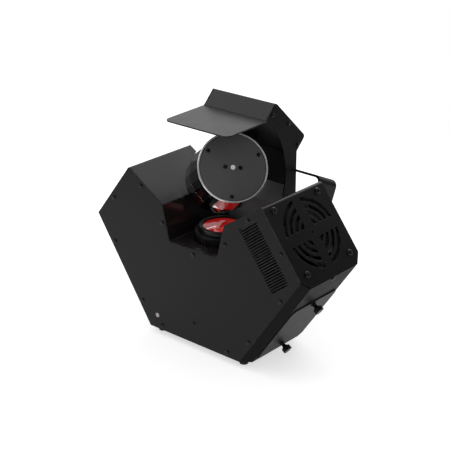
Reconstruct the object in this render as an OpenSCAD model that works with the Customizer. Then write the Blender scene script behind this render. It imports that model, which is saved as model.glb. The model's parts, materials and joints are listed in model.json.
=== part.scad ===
// Barrel-mirror effect light: a folded sheet-steel case with a notch in its top, a lens that
// shines up through the notch, and a mirror drum over it that pans and rolls under a canopy.

/* [Case] */
// Depth of the case, outer face to outer face
case_depth = 112.8; // [105:0.1:125]
// Thickness of the case's sheet steel
sheet_t = 1.5; // [1.2:0.1:2]
// Half width of the case at its base
base_half_w = 75; // [68:0.5:85]
// Half width of the case at its widest corners
side_half_w = 164.9; // [158:0.1:175]
// Height of the widest corners
side_z = 133.2; // [125:0.1:140]
// Half distance between the two top ridges
ridge_half_w = 106.3; // [102:0.1:112]
// Height of the two top ridges
ridge_z = 209.8; // [204:0.1:216]
// Half width of the notch at its mouth
notch_top_half_w = 50; // [49:0.1:54]
// Height of the notch's mouth
notch_top_z = 173.6; // [169:0.1:178]
// Half width of the notch's floor
notch_floor_half_w = 39.2; // [38:0.1:42]
// Height of the notch's floor
notch_floor_z = 127.8; // [122:0.1:130]
// Radius of the notch's lower corners
notch_corner_r = 4; // [2:0.5:6]
// Outer radius of the folds along the two top ridges
ridge_fold_r = 2.5; // [1:0.5:4]
// Width of the flanges folded in along the panels' edges
flange_w = 11; // [9:0.5:14]

/* [Fasteners] */
// Diameter of the small case screws' heads
screw_head_d = 5.7; // [5:0.1:6]
// Height of the small case screws' heads
screw_head_h = 1.7; // [1.4:0.1:2.2]
// Diameter of the small case screws' shanks
screw_shank_d = 3; // [2.5:0.1:3.5]
// Clearance between a screw's shank and its hole, on the radius
screw_gap = 0.15; // [0.1:0.05:0.3]
// Diameter of the rivet's head, low on the front plate
rivet_d = 3.4; // [3:0.1:5]
// Height of the rivet above the case's bottom
rivet_z = 27.8; // [20:0.1:34]
// Diameter of the fan screws' heads
fan_screw_head_d = 8.6; // [7.5:0.1:9.5]

/* [Louvres] */
// Number of louvre slots in the front plate
louvre_count = 27; // [20:1:28]
// Distance from one louvre slot to the next
louvre_pitch = 3.17; // [3:0.01:3.25]
// Width of a louvre slot
louvre_w = 1.6; // [1.2:0.1:1.9]
// Length of a louvre slot
louvre_len = 31; // [26:0.5:34]
// Distance from the fan facet's edge to the slots
louvre_inset = 17; // [15:0.5:20]
// Distance from the ridge to the first slot
louvre_start = 8.2; // [7:0.1:9]

/* [Fan] */
// Width of the square fan frame
fan_w = 92; // [90:0.5:92]
// Thickness of the fan frame
fan_t = 25; // [20:0.5:26]
// Distance between the fan's screw holes
fan_pitch = 82.5; // [78:0.5:83]
// Distance from the ridge to the fan's centre, down the facet
fan_along = 49.2; // [48.6:0.1:49.3]
// Inner and outer radius of the grille's first ring of slots
grille_first_r = 11.9; // [11:0.1:13]
// Width of each ring of slots
grille_slot_w = 5.2; // [4.5:0.1:6]
// Distance from one ring of slots to the next
grille_ring_pitch = 9; // [8.5:0.1:9.5]
// Number of rings of slots
grille_rings = 4; // [3:1:4]
// Width of the grille's cross-shaped bars
grille_bar_w = 14; // [10:0.5:18]
// Thickness of the grille plate
grille_t = 1.5; // [1:0.1:2]

/* [Lower covers] */
// How far the lower covers stand out from the case
cover_out = 10; // [8:0.1:12]
// How far the access door stands out from the lower right cover
door_out = 1.5; // [1.2:0.1:2.5]
// Distance from the case's base to the door's lower edge, up the facet
door_up = 11.7; // [8:0.1:14]
// Length of the door, down the facet
door_len = 99; // [94:0.5:103]
// Width of the door, front to back
door_w = 87; // [80:0.5:90]
// Chamfer of the door's corners
door_chamfer = 5.5; // [4:0.5:8]
// Gap all round the door
door_gap = 1.2; // [0.8:0.1:1.6]
// Distance from the door's upper edge to the upper thumbscrew
thumb_in = 7; // [6.5:0.1:9]
// Distance between the two thumbscrews
thumb_pitch = 83; // [72:0.5:83.5]

/* [Feet] */
// Diameter of the rubber feet
foot_d = 12.5; // [10:0.5:16]
// Height of the rubber feet
foot_h = 10; // [8:0.5:12]
// Distance from the case's centre to the feet, sideways
foot_x = 68.5; // [60:0.5:68.5]
// Distance from the case's front and back to the feet
foot_inset = 16.5; // [12:0.5:20]

/* [Lens] */
// Radius of the ribbed focus ring
focus_ring_r = 35.8; // [34:0.1:36.5]
// Height of the focus ring's top above the notch's floor
focus_ring_up = 10.2; // [9:0.1:11]
// Radius of the front lens cell
lens_cell_r = 30.8; // [29:0.1:32]
// Height of the front lens cell's top above the notch's floor
lens_cell_up = 16.2; // [15:0.1:16.6]
// Radius of the front lens
lens_r = 25.2; // [23:0.1:26]
// Number of ribs round the focus ring
focus_ribs = 48; // [32:1:64]

/* [Drum] */
// Tilt of the pan axis from the vertical
pan_tilt = 45; // [44:0.5:46]
// Distance of the drum's centre from the case's front
drum_y = 60.8; // [59:0.1:62]
// Height of the drum's centre
drum_z = 209.4; // [209:0.1:211]
// How far the drum is panned at rest
pan_rest = 45; // [0:1:90]
// How far the drum is rolled at rest
roll_rest = 26; // [0:1:359]
// Number of mirrors round each row of the drum
mirror_count = 22; // [18:1:26]
// Radius over the mirrors' corners at the drum's middle
drum_mid_r = 45; // [44:0.1:45.3]
// Radius over the mirrors' corners at the drum's ends
drum_end_r = 43.1; // [42:0.1:43.3]
// Distance from the drum's centre to its front end
drum_front = 43; // [41:0.1:43.2]
// Distance from the drum's centre to its rear end
drum_rear = 40.5; // [38:0.1:41]
// Wall of the drum, behind the mirrors
drum_wall = 2; // [1.5:0.1:3]

/* [Canopy] */
// Distance from the drum's centre to the canopy's underside, up the pan axis
canopy_low = 63.7; // [61:0.1:65]
// Height of the canopy's box, up the pan axis
canopy_h = 25.6; // [25.6:0.1:30]
// How much higher the canopy's top is at its back, up the pan axis
canopy_back_up = 2.4; // [0:0.1:4]
// Outer radius of the fold at the canopy's back
canopy_back_r = 4; // [1:0.5:5]
// Outer radius of the canopy's other folds
canopy_fold_r = 2; // [0.5:0.5:3]
// Half the canopy's length, across the pan axis
canopy_half = 40; // [37:0.1:42]
// Half width of the canopy and its arm
arm_half_w = 50; // [50:0.1:51]
// Thickness of the canopy's sheet
arm_t = 1.5; // [1.2:0.1:1.8]
// Depth of the arm behind the case
arm_depth = 24.8; // [23:0.1:26.5]
// Height of the arm's lower end
arm_low_z = 100; // [92:1:106]
// Length of the hood from the canopy's front fold
hood_len = 71.7; // [62:0.1:76]
// Radius of the hood's front corners
hood_corner_r = 9; // [4:0.5:14]

/* [Hanging bracket] */
// Width of the bracket's strap
strap_w = 38.6; // [34:0.1:40]
// Thickness of the bracket's strap
strap_t = 3; // [2.5:0.1:4]
// Distance between the bracket's arms, inside
strap_inside = 170; // [166:0.5:176]
// Distance from the bracket's pivots to its crossbar
strap_len = 53; // [52:0.5:56]
// Height of the bracket's pivots
pivot_z = 147.5; // [143:0.5:150]
// Distance of the bracket's pivots behind the case
pivot_back = 21.2; // [20.5:0.1:24]
// Lean of the bracket from the vertical, backwards
strap_lean = 24.8; // [24:0.1:40]
// Diameter of the hole for a lamp clamp's bolt
clamp_hole_d = 13; // [10:0.5:14]

/* [Light engine] */
// Width of the finned heat sink
sink_w = 64; // [56:1:68]
// Height of the heat sink
sink_h = 34; // [26:1:38]
// Number of heat sink fins
sink_fins = 12; // [8:1:14]
// Width of the light source's board
led_board_w = 40; // [32:1:44]
// Thickness of the light source's board
led_board_t = 1.6; // [1:0.1:2]
// Radius of the condenser lens
condenser_r = 22; // [18:0.5:24]
// Radius of the colour and pattern wheels
wheel_r = 44; // [40:0.5:46]
// Number of windows in each wheel
wheel_windows = 8; // [6:1:9]
// Radius of a wheel's windows
wheel_window_r = 10; // [8:0.5:11]
// Distance from the optical axis to the wheels' spindles
wheel_offset = 31; // [29:0.5:33]
// Thickness of a wheel
wheel_t = 1.2; // [0.8:0.1:2]
// Radius of the wheels' spindles
spindle_r = 2.5; // [2:0.1:3]
// Running clearance of shafts in their bores, on the radius
running_gap = 0.05; // [0.02:0.01:0.1]
// Width of a wheel motor
wheel_motor_w = 28; // [24:1:32]
// Length of a wheel motor
wheel_motor_h = 10; // [8:1:12]

/* [Pan and roll motors] */
// Width of the pan motor's body
pan_motor_w = 42; // [35:0.5:42.5]
// Length of the pan motor's body
pan_motor_h = 20; // [16:0.5:21.5]
// Thickness of the plate that carries the pan motor
motor_plate_t = 2; // [1.5:0.1:3]
// Radius of the pan hub
pan_hub_r = 13; // [10:0.5:15]
// Radius of the motors' shafts
shaft_r = 2.5; // [2:0.1:3]
// Thickness of the pan bracket's sheet
pan_bracket_t = 2; // [1.5:0.1:2.2]
// Width of the pan bracket
pan_bracket_w = 30; // [24:1:34]
// Gap between the drum and the pan bracket
drum_gap = 1.2; // [1:0.1:1.4]
// Width of the roll motor's body
roll_motor_w = 35; // [28:0.5:42]
// Length of the roll motor's body
roll_motor_h = 28; // [20:1:34]

/* [Back panel] */
// Width of the display window
display_w = 46; // [36:1:56]
// Height of the display window
display_h = 18; // [14:1:24]
// Diameter of the menu buttons
button_d = 7; // [6:0.5:9]
// How far the menu buttons travel
button_travel = 1.2; // [0.8:0.1:1.6]
// Distance from one menu button to the next
button_pitch = 13; // [11:0.5:15]
// Diameter of the data sockets' bodies
data_d = 19; // [17:0.5:22]
// Width of the mains inlet's opening
inlet_w = 27; // [25:0.5:29]
// Height of the mains inlet's opening
inlet_h = 20; // [18:0.5:22]
// Diameter of the fuse holder's cap
fuse_d = 13; // [11:0.5:15]

/* [Hidden] */
$fn = 64;

// The case's corners as points (x, z), clockwise from the base's left corner.
case_outline = [[-base_half_w, 0], [-side_half_w, side_z], [-ridge_half_w, ridge_z],
    [-notch_top_half_w, notch_top_z], [-notch_floor_half_w, notch_floor_z],
    [notch_floor_half_w, notch_floor_z], [notch_top_half_w, notch_top_z],
    [ridge_half_w, ridge_z], [side_half_w, side_z], [base_half_w, 0]];
corner_count = len(case_outline);

// Unit vector from a to b, and the same turned a quarter turn clockwise.
function way(a, b) = (b - a) / norm(b - a);
function turned(v) = [v[1], -v[0]];
// Outline moved in by d, each corner along the bisector of its edges.
function inset_corner(p, i, d) = let (n = len(p), a = way(p[(i + n - 1) % n], p[i]),
    b = way(p[i], p[(i + 1) % n]), s = turned(a) + turned(b)) p[i] + s * 2 * d / (s * s);
function inset(p, d) = [for (i = [0:len(p) - 1]) inset_corner(p, i, d)];
// Points along an arc about c, from angle a to angle b.
function arc(c, r, a, b, n) = [for (i = [0:n]) c + r * [cos(a + (b - a) * i / n),
    sin(a + (b - a) * i / n)]];
// The arc, of radius r, that rounds corner i of an outline p, and an outline with all its
// corners rounded by their radii.
function corner_arc(p, i, r) = let (n = len(p), a = way(p[i], p[(i + n - 1) % n]),
    b = way(p[i], p[(i + 1) % n]), half = acos(a * b) / 2, turn = 180 - 2 * half,
    c = p[i] + (a + b) / norm(a + b) * r / sin(half), s = p[i] + a * r / tan(half) - c,
    e = p[i] + b * r / tan(half) - c)
    [for (k = [0:6]) c + (s * sin(turn * (1 - k / 6)) + e * sin(turn * k / 6)) / sin(turn)];
function rounded(p, radii) = [for (i = [0:len(p) - 1])
    each radii[i] > 0 ? corner_arc(p, i, radii[i]) : [p[i]]];
function ngon(n, r) = [for (i = [0:n - 1]) r * [cos(360 * i / n), sin(360 * i / n)]];

// Facets of the case: where each starts, its run and its outward normal, all in x and z.
ridge = [ridge_half_w, ridge_z];
corner = [side_half_w, side_z];
base_corner = [base_half_w, 0];
fan_run = way(ridge, corner);
fan_out = -turned(fan_run);
fan_len = norm(corner - ridge);
side_run = way(corner, base_corner);
side_out = -turned(side_run);
side_len = norm(base_corner - corner);
roof_run = way(ridge, [notch_top_half_w, notch_top_z]);
mid_y = case_depth / 2;

// The canopy is a box square to the pan axis: points (y, z) from a place across and up the axis.
function pan_point(across, up) = [drum_y + across * cos(pan_tilt) + up * sin(pan_tilt),
    drum_z - across * sin(pan_tilt) + up * cos(pan_tilt)];
arm_back_y = case_depth + arm_depth;
canopy_top = canopy_low + canopy_h;
canopy_fold = pan_point(-canopy_half, canopy_low);
canopy_ridge = pan_point(-canopy_half, canopy_top);
canopy_back = pan_point(canopy_half, canopy_top + canopy_back_up);
canopy_under = pan_point(canopy_half,
    (arm_back_y - drum_y - canopy_half * cos(pan_tilt)) / sin(pan_tilt));
arm_profile = [canopy_fold, canopy_ridge, canopy_back, canopy_under,
    [arm_back_y, arm_low_z], [case_depth, arm_low_z]];
arc_c = [drum_y - 41, drum_z - 3.7];
arc_r = norm(canopy_fold - arc_c);
arc_low_z = notch_top_z + 6;
arc_start = atan2(canopy_fold[1] - arc_c[1], canopy_fold[0] - arc_c[0]);
arc_end = asin((arc_low_z - arc_c[1]) / arc_r);

// The drum's own frame has x along the drum and z up the pan axis, from the drum's centre.
module at_drum() {
    translate([0, drum_y, drum_z]) rotate([-pan_tilt, 0, 0]) rotate([0, 0, -pan_rest])
        children();
}
// The same frame, turned with the drum about its own axis.
module at_rolled_drum() {
    at_drum() rotate([roll_rest, 0, 0]) children();
}
// The pan axis's frame has z up the pan axis, square to the case.
module at_pan() {
    translate([0, drum_y, drum_z]) rotate([-pan_tilt, 0, 0]) children();
}
// The right facets' frames: x down the facet, y to the back, z outwards.
module on_facet(start, run, side = 1) {
    mirror([side < 0 ? 1 : 0, 0, 0]) translate([start[0], 0, start[1]])
        rotate([0, atan2(-run[1], run[0]), 0]) children();
}

// The strap's reach gives the object's rearmost line, and the screws its foremost.
pivot_y = case_depth + pivot_back;
strap_rear = pivot_y + (strap_len + strap_t / 2) * sin(strap_lean)
    + strap_w / 2 * cos(strap_lean);
origin_y = (strap_rear - screw_head_h) / 2;
module placed() {
    translate([0, -origin_y, foot_h]) children();
}
// A plate in x and z with its outer face at y, as thick as t to the back.
module upright(y, t) {
    translate([0, y + t, 0]) rotate([90, 0, 0]) linear_extrude(t) children();
}
// A pan-head screw that points along -z, with its head's seat at the origin.
module screw(head_d, head_h, shank_d, len) {
    cylinder(d = head_d, h = head_h * 0.55);
    translate([0, 0, head_h * 0.55]) cylinder(d1 = head_d, d2 = head_d * 0.62,
        h = head_h * 0.45);
    translate([0, 0, -len]) cylinder(d = shank_d, h = len);
}

// Case panels. Each is folded from sheet, with flanges inside the front and back plates.
inner_outline = inset(case_outline, sheet_t);
flange_outline = inset(case_outline, sheet_t + flange_w);
screw_in = 6.4;
// The case screws: which edge of the outline each is on, and its share of the way along.
screw_places = [[0, 0.21], [0, 0.733], [1, 0.422], [2, 0.412], [3, 0.5], [4, 0.5],
    [5, 0.5], [6, 0.588], [7, 0.578], [8, 0.267], [8, 0.79], [9, 0.133], [9, 0.867]];
function edge_point(i, share, depth) = let (a = case_outline[i],
    b = case_outline[(i + 1) % corner_count]) a + (b - a) * share + turned(way(a, b)) * depth;
function screw_point(place) = edge_point(place[0], place[1], screw_in);

module screw_holes(edge = -1) {
    for (place = screw_places) if (edge < 0 || place[0] == edge) {
        p = screw_point(place);
        translate([p[0], -1, p[1]]) rotate([-90, 0, 0])
            cylinder(r = screw_shank_d / 2 + screw_gap, h = case_depth + 2);
    }
}
module edge_quad(i, outer, inner) {
    j = (i + 1) % corner_count;
    polygon([outer[i], outer[j], inner[j], inner[i]]);
}
// What the folds along the two top ridges take off their sharp corners.
left_ridge_i = 2;
right_ridge_i = 7;
module ridge_cut(i) {
    upright(-1, case_depth + 2) polygon(concat(corner_arc(case_outline, i, ridge_fold_r),
        [case_outline[i] + [0, ridge_fold_r]]));
}
// One facet's panel: the sheet, and a flange at the front and at the back.
module edge_panel(i) {
    difference() {
        union() {
            upright(sheet_t, case_depth - 2 * sheet_t)
                edge_quad(i, case_outline, inner_outline);
            for (y = [sheet_t, case_depth - 2 * sheet_t])
                upright(y, sheet_t) edge_quad(i, inner_outline, flange_outline);
        }
        screw_holes(i);
        if (i == left_ridge_i || i == left_ridge_i - 1) ridge_cut(left_ridge_i);
        if (i == right_ridge_i || i == right_ridge_i - 1) ridge_cut(right_ridge_i);
    }
}

// The notch's profile has rounded lower corners.
notch_wall = way([notch_floor_half_w, notch_floor_z], [notch_top_half_w, notch_top_z]);
notch_angle = atan2(notch_wall[0], notch_wall[1]);
notch_bend = notch_corner_r / tan((90 + notch_angle) / 2);
notch_round_c = [notch_floor_half_w - notch_bend, notch_floor_z + notch_corner_r];
notch_round = arc(notch_round_c, notch_corner_r, -90, -notch_angle, 6);
right_half = concat(notch_round, [case_outline[6]],
    corner_arc(case_outline, right_ridge_i, ridge_fold_r), [case_outline[8], case_outline[9]]);
plate_outline = concat([for (i = [len(right_half) - 1:-1:0]) [-right_half[i][0], right_half[i][1]]],
    right_half);

module case_plate(y) {
    upright(y, sheet_t) polygon(plate_outline);
}
indicator_at = [-62.1, 18.7];
indicator_d = 5;
rivet_shank_r = 1.2;
module front_plate() color([0.05, 0.05, 0.055]) placed() difference() {
    case_plate(0);
    screw_holes();
    for (k = [0:louvre_count - 1]) {
        a = ridge + fan_run * (louvre_start + k * louvre_pitch) - fan_out * louvre_inset;
        translate([a[0], -1, a[1]]) rotate([0, atan2(fan_out[1], -fan_out[0]), 0])
            translate([0, 0, -louvre_w / 2]) cube([louvre_len, sheet_t + 2, louvre_w]);
    }
    translate([indicator_at[0], -1, indicator_at[1]]) rotate([-90, 0, 0])
        cylinder(d = indicator_d + 2 * screw_gap, h = sheet_t + 2);
    translate([0, -1, rivet_z]) rotate([-90, 0, 0])
        cylinder(r = rivet_shank_r + screw_gap, h = sheet_t + 2);
}
module base_plate() color([0.05, 0.05, 0.055]) placed() difference() {
    edge_panel(9);
    feet_places() translate([0, 0, -1]) cylinder(r = screw_shank_d / 2 + screw_gap, h = 4);
}
module left_side_panel() color([0.05, 0.05, 0.055]) placed() edge_panel(0);
module left_roof_panel() color([0.07, 0.07, 0.075]) placed() edge_panel(2);
module right_roof_panel() color([0.05, 0.05, 0.055]) placed() edge_panel(6);

// The left upper panel draws the cooling air in through rows of slots.
vent_rows = 3;
vent_slots = 9;
vent_slot_w = 3;
vent_slot_len = 20;
vent_row_pitch = 26;
vent_pitch = 7;
module left_vent_panel() color([0.05, 0.05, 0.055]) placed() difference() {
    edge_panel(1);
    on_facet(ridge, fan_run, -1) for (row = [0:vent_rows - 1], k = [0:vent_slots - 1])
        translate([fan_along + (k - (vent_slots - 1) / 2) * vent_pitch - vent_slot_w / 2,
            mid_y + (row - (vent_rows - 1) / 2) * vent_row_pitch - vent_slot_len / 2,
            -sheet_t - 1]) cube([vent_slot_w, vent_slot_len, sheet_t + 2]);
}
module fan_corners(z) {
    for (dx = [-1, 1], dy = [-1, 1])
        translate([fan_along + dx * fan_pitch / 2, mid_y + dy * fan_pitch / 2, z]) children();
}
module fan_screw_holes() {
    fan_corners(-sheet_t - 1)
        cylinder(r = screw_shank_d / 2 + screw_gap, h = sheet_t + grille_t + 2);
}
fan_bore_r = fan_w / 2 - 2.5;
module fan_panel() color([0.05, 0.05, 0.055]) placed() difference() {
    edge_panel(7);
    on_facet(ridge, fan_run) {
        translate([fan_along, mid_y, -sheet_t - 1]) cylinder(r = fan_bore_r, h = sheet_t + 2);
        fan_screw_holes();
    }
}

// Inside the right cover, the panel has an opening that the door uncovers.
door_start = side_len - door_up - door_len;
thumb_start = door_start + thumb_in;
access_margin = 9;
access_from = thumb_start + access_margin;
access_to = thumb_start + thumb_pitch - access_margin;
access_w = 66;
thumb_shank_r = 2;
module thumb_places() {
    for (i = [0, 1]) on_facet(corner, side_run)
        translate([thumb_start + i * thumb_pitch, mid_y, 0]) children();
}
module right_side_panel() color([0.05, 0.05, 0.055]) placed() difference() {
    edge_panel(8);
    on_facet(corner, side_run) translate([access_from, mid_y - access_w / 2, -sheet_t - 1])
        cube([access_to - access_from, access_w, sheet_t + 2]);
    thumb_places() translate([0, 0, -sheet_t - 1])
        cylinder(r = thumb_shank_r + screw_gap, h = sheet_t + 2);
}

// The tray that lines the notch: a floor with a hole for the lens, and two sloping walls.
tray_hole_r = focus_ring_r + 1.2;
module notch_tray() color([0.03, 0.03, 0.035]) placed() difference() {
    union() for (i = [3:5]) edge_panel(i);
    translate([0, mid_y, notch_floor_z - sheet_t - flange_w - 1])
        cylinder(r = tray_hole_r, h = sheet_t + flange_w + 2);
}

// Lower covers: shallow folded trays over the lower side facets, with chamfered ends.
cover_rim = 1.7;
cover_chamfer = (case_depth - door_w) / 2 - door_gap - cover_rim;
side_plane_x = base_half_w + cover_out / side_out[0];
cover_reach = cover_out / (fan_run * side_out);
module cover_form(d) {
    // Section across the facet, inside by d.
    slope = d * (norm([cover_chamfer, cover_out]) - cover_chamfer) / cover_out;
    intersection() {
        on_facet(corner, side_run) rotate([90, 0, 90])
            translate([0, 0, -cover_reach - d]) linear_extrude(side_len + 4 * cover_out)
                polygon([[slope, -d], [cover_chamfer + slope, cover_out - d],
                    [case_depth - cover_chamfer - slope, cover_out - d],
                    [case_depth - slope, -d]]);
        upright(-1, case_depth + 2) polygon(d > 0
            ? inset_open(cover_profile, d) : cover_profile);
    }
}
cover_profile = [corner, corner + fan_run * cover_reach, [side_plane_x, 0], base_corner];
// The cover's profile moved in by d, but past the case's face, where the cover is open.
function inset_open(p, d) = let (q = inset(p, d))
    [q[0] - fan_run * 2 * d / (fan_run * side_out), q[1], q[2],
    q[3] - [2 * d / side_out[0], 0]];
module lower_cover() {
    difference() {
        cover_form(0);
        cover_form(sheet_t);
    }
}
// The door's outline, larger by d all round.
module door_outline(d) {
    a = door_start - d;
    b = door_start + door_len + d;
    w = door_w / 2 + d;
    c = door_chamfer + d * (2 - sqrt(2));
    polygon([[a + c, -w], [b - c, -w], [b, -w + c], [b, w - c], [b - c, w], [a + c, w],
        [a, w - c], [a, -w + c]]);
}
cover_screw_along = 7.5;
module cover_screw_place() {
    on_facet(corner, side_run) translate([cover_screw_along, mid_y, cover_out]) children();
}
module lower_left_cover() color([0.06, 0.06, 0.065]) placed() mirror([1, 0, 0]) difference() {
    lower_cover();
    cover_screw_place() translate([0, 0, -sheet_t - 1])
        cylinder(r = screw_shank_d / 2 + screw_gap, h = sheet_t + 2);
}
module lower_right_cover() color([0.06, 0.06, 0.065]) placed() difference() {
    lower_cover();
    on_facet(corner, side_run) translate([0, mid_y, cover_out - sheet_t - 1])
        linear_extrude(sheet_t + 2) door_outline(door_gap);
    cover_screw_place() translate([0, 0, -sheet_t - 1])
        cylinder(r = screw_shank_d / 2 + screw_gap, h = sheet_t + 2);
}
// The door is a shallow lid whose skirt seats on the side panel.
seat_gap = 0.3;
module access_door() color([0.06, 0.06, 0.065]) placed() difference() {
    on_facet(corner, side_run) translate([0, mid_y, seat_gap])
        linear_extrude(cover_out + door_out - seat_gap) door_outline(0);
    on_facet(corner, side_run) translate([0, mid_y, seat_gap - 1])
        linear_extrude(cover_out + door_out - seat_gap - sheet_t + 1) door_outline(-sheet_t);
    thumb_places() cylinder(r = thumb_shank_r + running_gap, h = cover_out + door_out + 1);
}
// A thumbscrew: a threaded shank, a neck and a ribbed, flared head.
thumb_neck_d = 5;
thumb_head_d = 11.6;
thumb_head_h = 12;
module thumbscrew(i) {
    on_facet(corner, side_run)
        translate([thumb_start + i * thumb_pitch, mid_y, cover_out + door_out]) difference() {
            union() {
                translate([0, 0, -cover_out - door_out - sheet_t - 3])
                    cylinder(r = thumb_shank_r, h = cover_out + door_out + sheet_t + 4);
                cylinder(d = thumb_neck_d + 2, h = 1.5);
                translate([0, 0, 1.5]) cylinder(d = thumb_neck_d, h = 3);
                translate([0, 0, 4.5]) cylinder(d1 = thumb_neck_d, d2 = thumb_head_d, h = 2.5);
                translate([0, 0, 7]) cylinder(d = thumb_head_d, h = thumb_head_h - 7);
            }
            for (k = [0:11]) rotate([0, 0, 30 * k]) translate([thumb_head_d / 2 + 0.4, 0, 6.5])
                cylinder(r = 1, h = thumb_head_h, $fn = 24);
            translate([-thumb_head_d, -0.6, thumb_head_h - 1])
                cube([2 * thumb_head_d, 1.2, 2]);
        }
}
module upper_thumbscrew() color([0.04, 0.04, 0.045]) placed() thumbscrew(0);
module lower_thumbscrew() color([0.04, 0.04, 0.045]) placed() thumbscrew(1);

// The grille plate covers the fan facet, with arc slots. Its lower end laps over the cover's
// top, and its upper end is folded over the ridge onto the roof.
grille_len = fan_len + cover_reach - 1.6;
grille_corner_along = grille_len - cover_reach - 0.5;
grille_corner_in = cover_chamfer + 1;
lip_len = 7.5;
lip_lap = 4;
outer_outline = inset(case_outline, -grille_t);
lip_under = corner_arc(case_outline, right_ridge_i, ridge_fold_r);
lip_over = corner_arc(outer_outline, right_ridge_i, ridge_fold_r + grille_t);
module grille_lip() {
    roof_end = ridge + roof_run * lip_len;
    upright(0, case_depth) polygon(concat([roof_end], lip_under,
        [ridge + fan_run * (lip_lap + 1), ridge + fan_run * (lip_lap + 1) + fan_out * grille_t],
        [for (k = [len(lip_over) - 1:-1:0]) lip_over[k]],
        [roof_end + turned(roof_run) * grille_t]));
}
module fan_grille_plate() color([0.04, 0.04, 0.045]) placed() {
    grille_lip();
    grille_sheet();
}
module grille_sheet() on_facet(ridge, fan_run) {
    difference() {
        linear_extrude(grille_t) polygon([[lip_lap, 0], [grille_corner_along, 0],
            [grille_len, grille_corner_in], [grille_len, case_depth - grille_corner_in],
            [grille_corner_along, case_depth], [lip_lap, case_depth]]);
        fan_screw_holes();
        translate([fan_along, mid_y, -1]) {
            for (i = [0:grille_rings - 1]) {
                r = grille_first_r + i * grille_ring_pitch;
                difference() {
                    cylinder(r = r + grille_slot_w, h = grille_t + 2);
                    translate([0, 0, -1]) cylinder(r = r, h = grille_t + 4);
                    for (turn = [0, 90]) rotate([0, 0, turn])
                        translate([-fan_w, -grille_bar_w / 2, -1])
                            cube([2 * fan_w, grille_bar_w, grille_t + 4]);
                }
            }
            cylinder(r = 1.75, h = grille_t + 2);
        }
    }
}

// The canopy and the arm that carries it up the back of the case.
arm_folds = [0, canopy_fold_r, canopy_back_r, canopy_fold_r, 0, 0];
arm_cut = concat(corner_arc(arm_profile, 1, arm_folds[1]), corner_arc(arm_profile, 2, arm_folds[2]),
    corner_arc(arm_profile, 3, arm_folds[3]), [[arm_back_y, arm_low_z],
    [case_depth, arm_low_z], [case_depth, arc_low_z]], arc(arc_c, arc_r, arc_end, arc_start, 24));
// The places of the screws on each side of the canopy, in the profile.
canopy_screw_in = 4.5;
canopy_screw_up = canopy_low + 0.46 * canopy_h;
canopy_screws_at = [pan_point(canopy_screw_in - canopy_half, canopy_screw_up),
    pan_point(0, canopy_top - canopy_screw_in),
    pan_point(canopy_half - canopy_screw_in, canopy_screw_up)];
module profile_plate(x, t) {
    // A plate in y and z, from x to x + t.
    translate([x, 0, 0]) rotate([90, 0, 90]) linear_extrude(t) children();
}
module canopy_side(x) {
    difference() {
        profile_plate(x, arm_t) polygon(arm_cut);
        for (p = canopy_screws_at) translate([x - 1, p[0], p[1]]) rotate([0, 90, 0])
            cylinder(r = screw_shank_d / 2 + screw_gap, h = arm_t + 2);
    }
}
module canopy_side_left() color([0.04, 0.04, 0.045]) placed() canopy_side(-arm_half_w);
module canopy_side_right() color([0.04, 0.04, 0.045]) placed() canopy_side(arm_half_w - arm_t);

// The canopy's folded skin, with flanges inside the side plates that take the screws.
arm_outer = rounded(arm_profile, arm_folds);
arm_inner = rounded(inset(arm_profile, arm_t), [for (r = arm_folds) max(0, r - arm_t)]);
module canopy_shell() color([0.07, 0.07, 0.075]) placed() difference() {
    union() {
        profile_plate(-arm_half_w + arm_t, 2 * (arm_half_w - arm_t))
            polygon(concat(arm_outer, [for (i = [len(arm_inner) - 1:-1:0]) arm_inner[i]]));
        for (x = [-arm_half_w + arm_t, arm_half_w - 2 * arm_t]) at_pan() difference() {
            a = canopy_half - arm_t;
            b = canopy_low + motor_plate_t;
            translate([x, -a, b]) cube([arm_t, 2 * a, canopy_top - arm_t - b]);
            translate([x - 1, 2 * canopy_screw_in - a, b - 1])
                cube([arm_t + 2, 2 * a - 4 * canopy_screw_in,
                    canopy_top - arm_t - b + 1 - 2 * canopy_screw_in]);
        }
    }
    for (p = canopy_screws_at) translate([-arm_half_w, p[0], p[1]]) rotate([0, 90, 0])
        cylinder(r = screw_shank_d / 2 + screw_gap, h = 2 * arm_half_w);
}
// The plate that carries the pan motor closes the canopy underneath.
module pan_motor_plate() color([0.05, 0.05, 0.055]) placed() at_pan() difference() {
    translate([-arm_half_w + arm_t, arm_t - canopy_half, canopy_low])
        cube([2 * (arm_half_w - arm_t), 2 * (canopy_half - arm_t) - 1, motor_plate_t]);
    translate([0, 0, canopy_low - 1]) cylinder(r = motor_boss_r + running_gap,
        h = motor_plate_t + 2);
}
motor_boss_r = 11;
// A stepping motor with its boss below, its body above, and a bore for its shaft.
module stepping_motor(w, h, boss_h) {
    difference() {
        union() {
            intersection() {
                translate([-w / 2, -w / 2, 0]) cube([w, w, h]);
                cylinder(r = w * 0.63, h = h);
            }
            translate([0, 0, -boss_h]) cylinder(r = motor_boss_r, h = boss_h + 1);
        }
        translate([0, 0, -boss_h - 1]) cylinder(r = shaft_r + running_gap, h = h * 0.6 + boss_h);
    }
}
module pan_motor() color([0.12, 0.12, 0.13]) placed() at_pan()
    translate([0, 0, canopy_low + motor_plate_t])
        stepping_motor(pan_motor_w, pan_motor_h, motor_plate_t);

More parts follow.
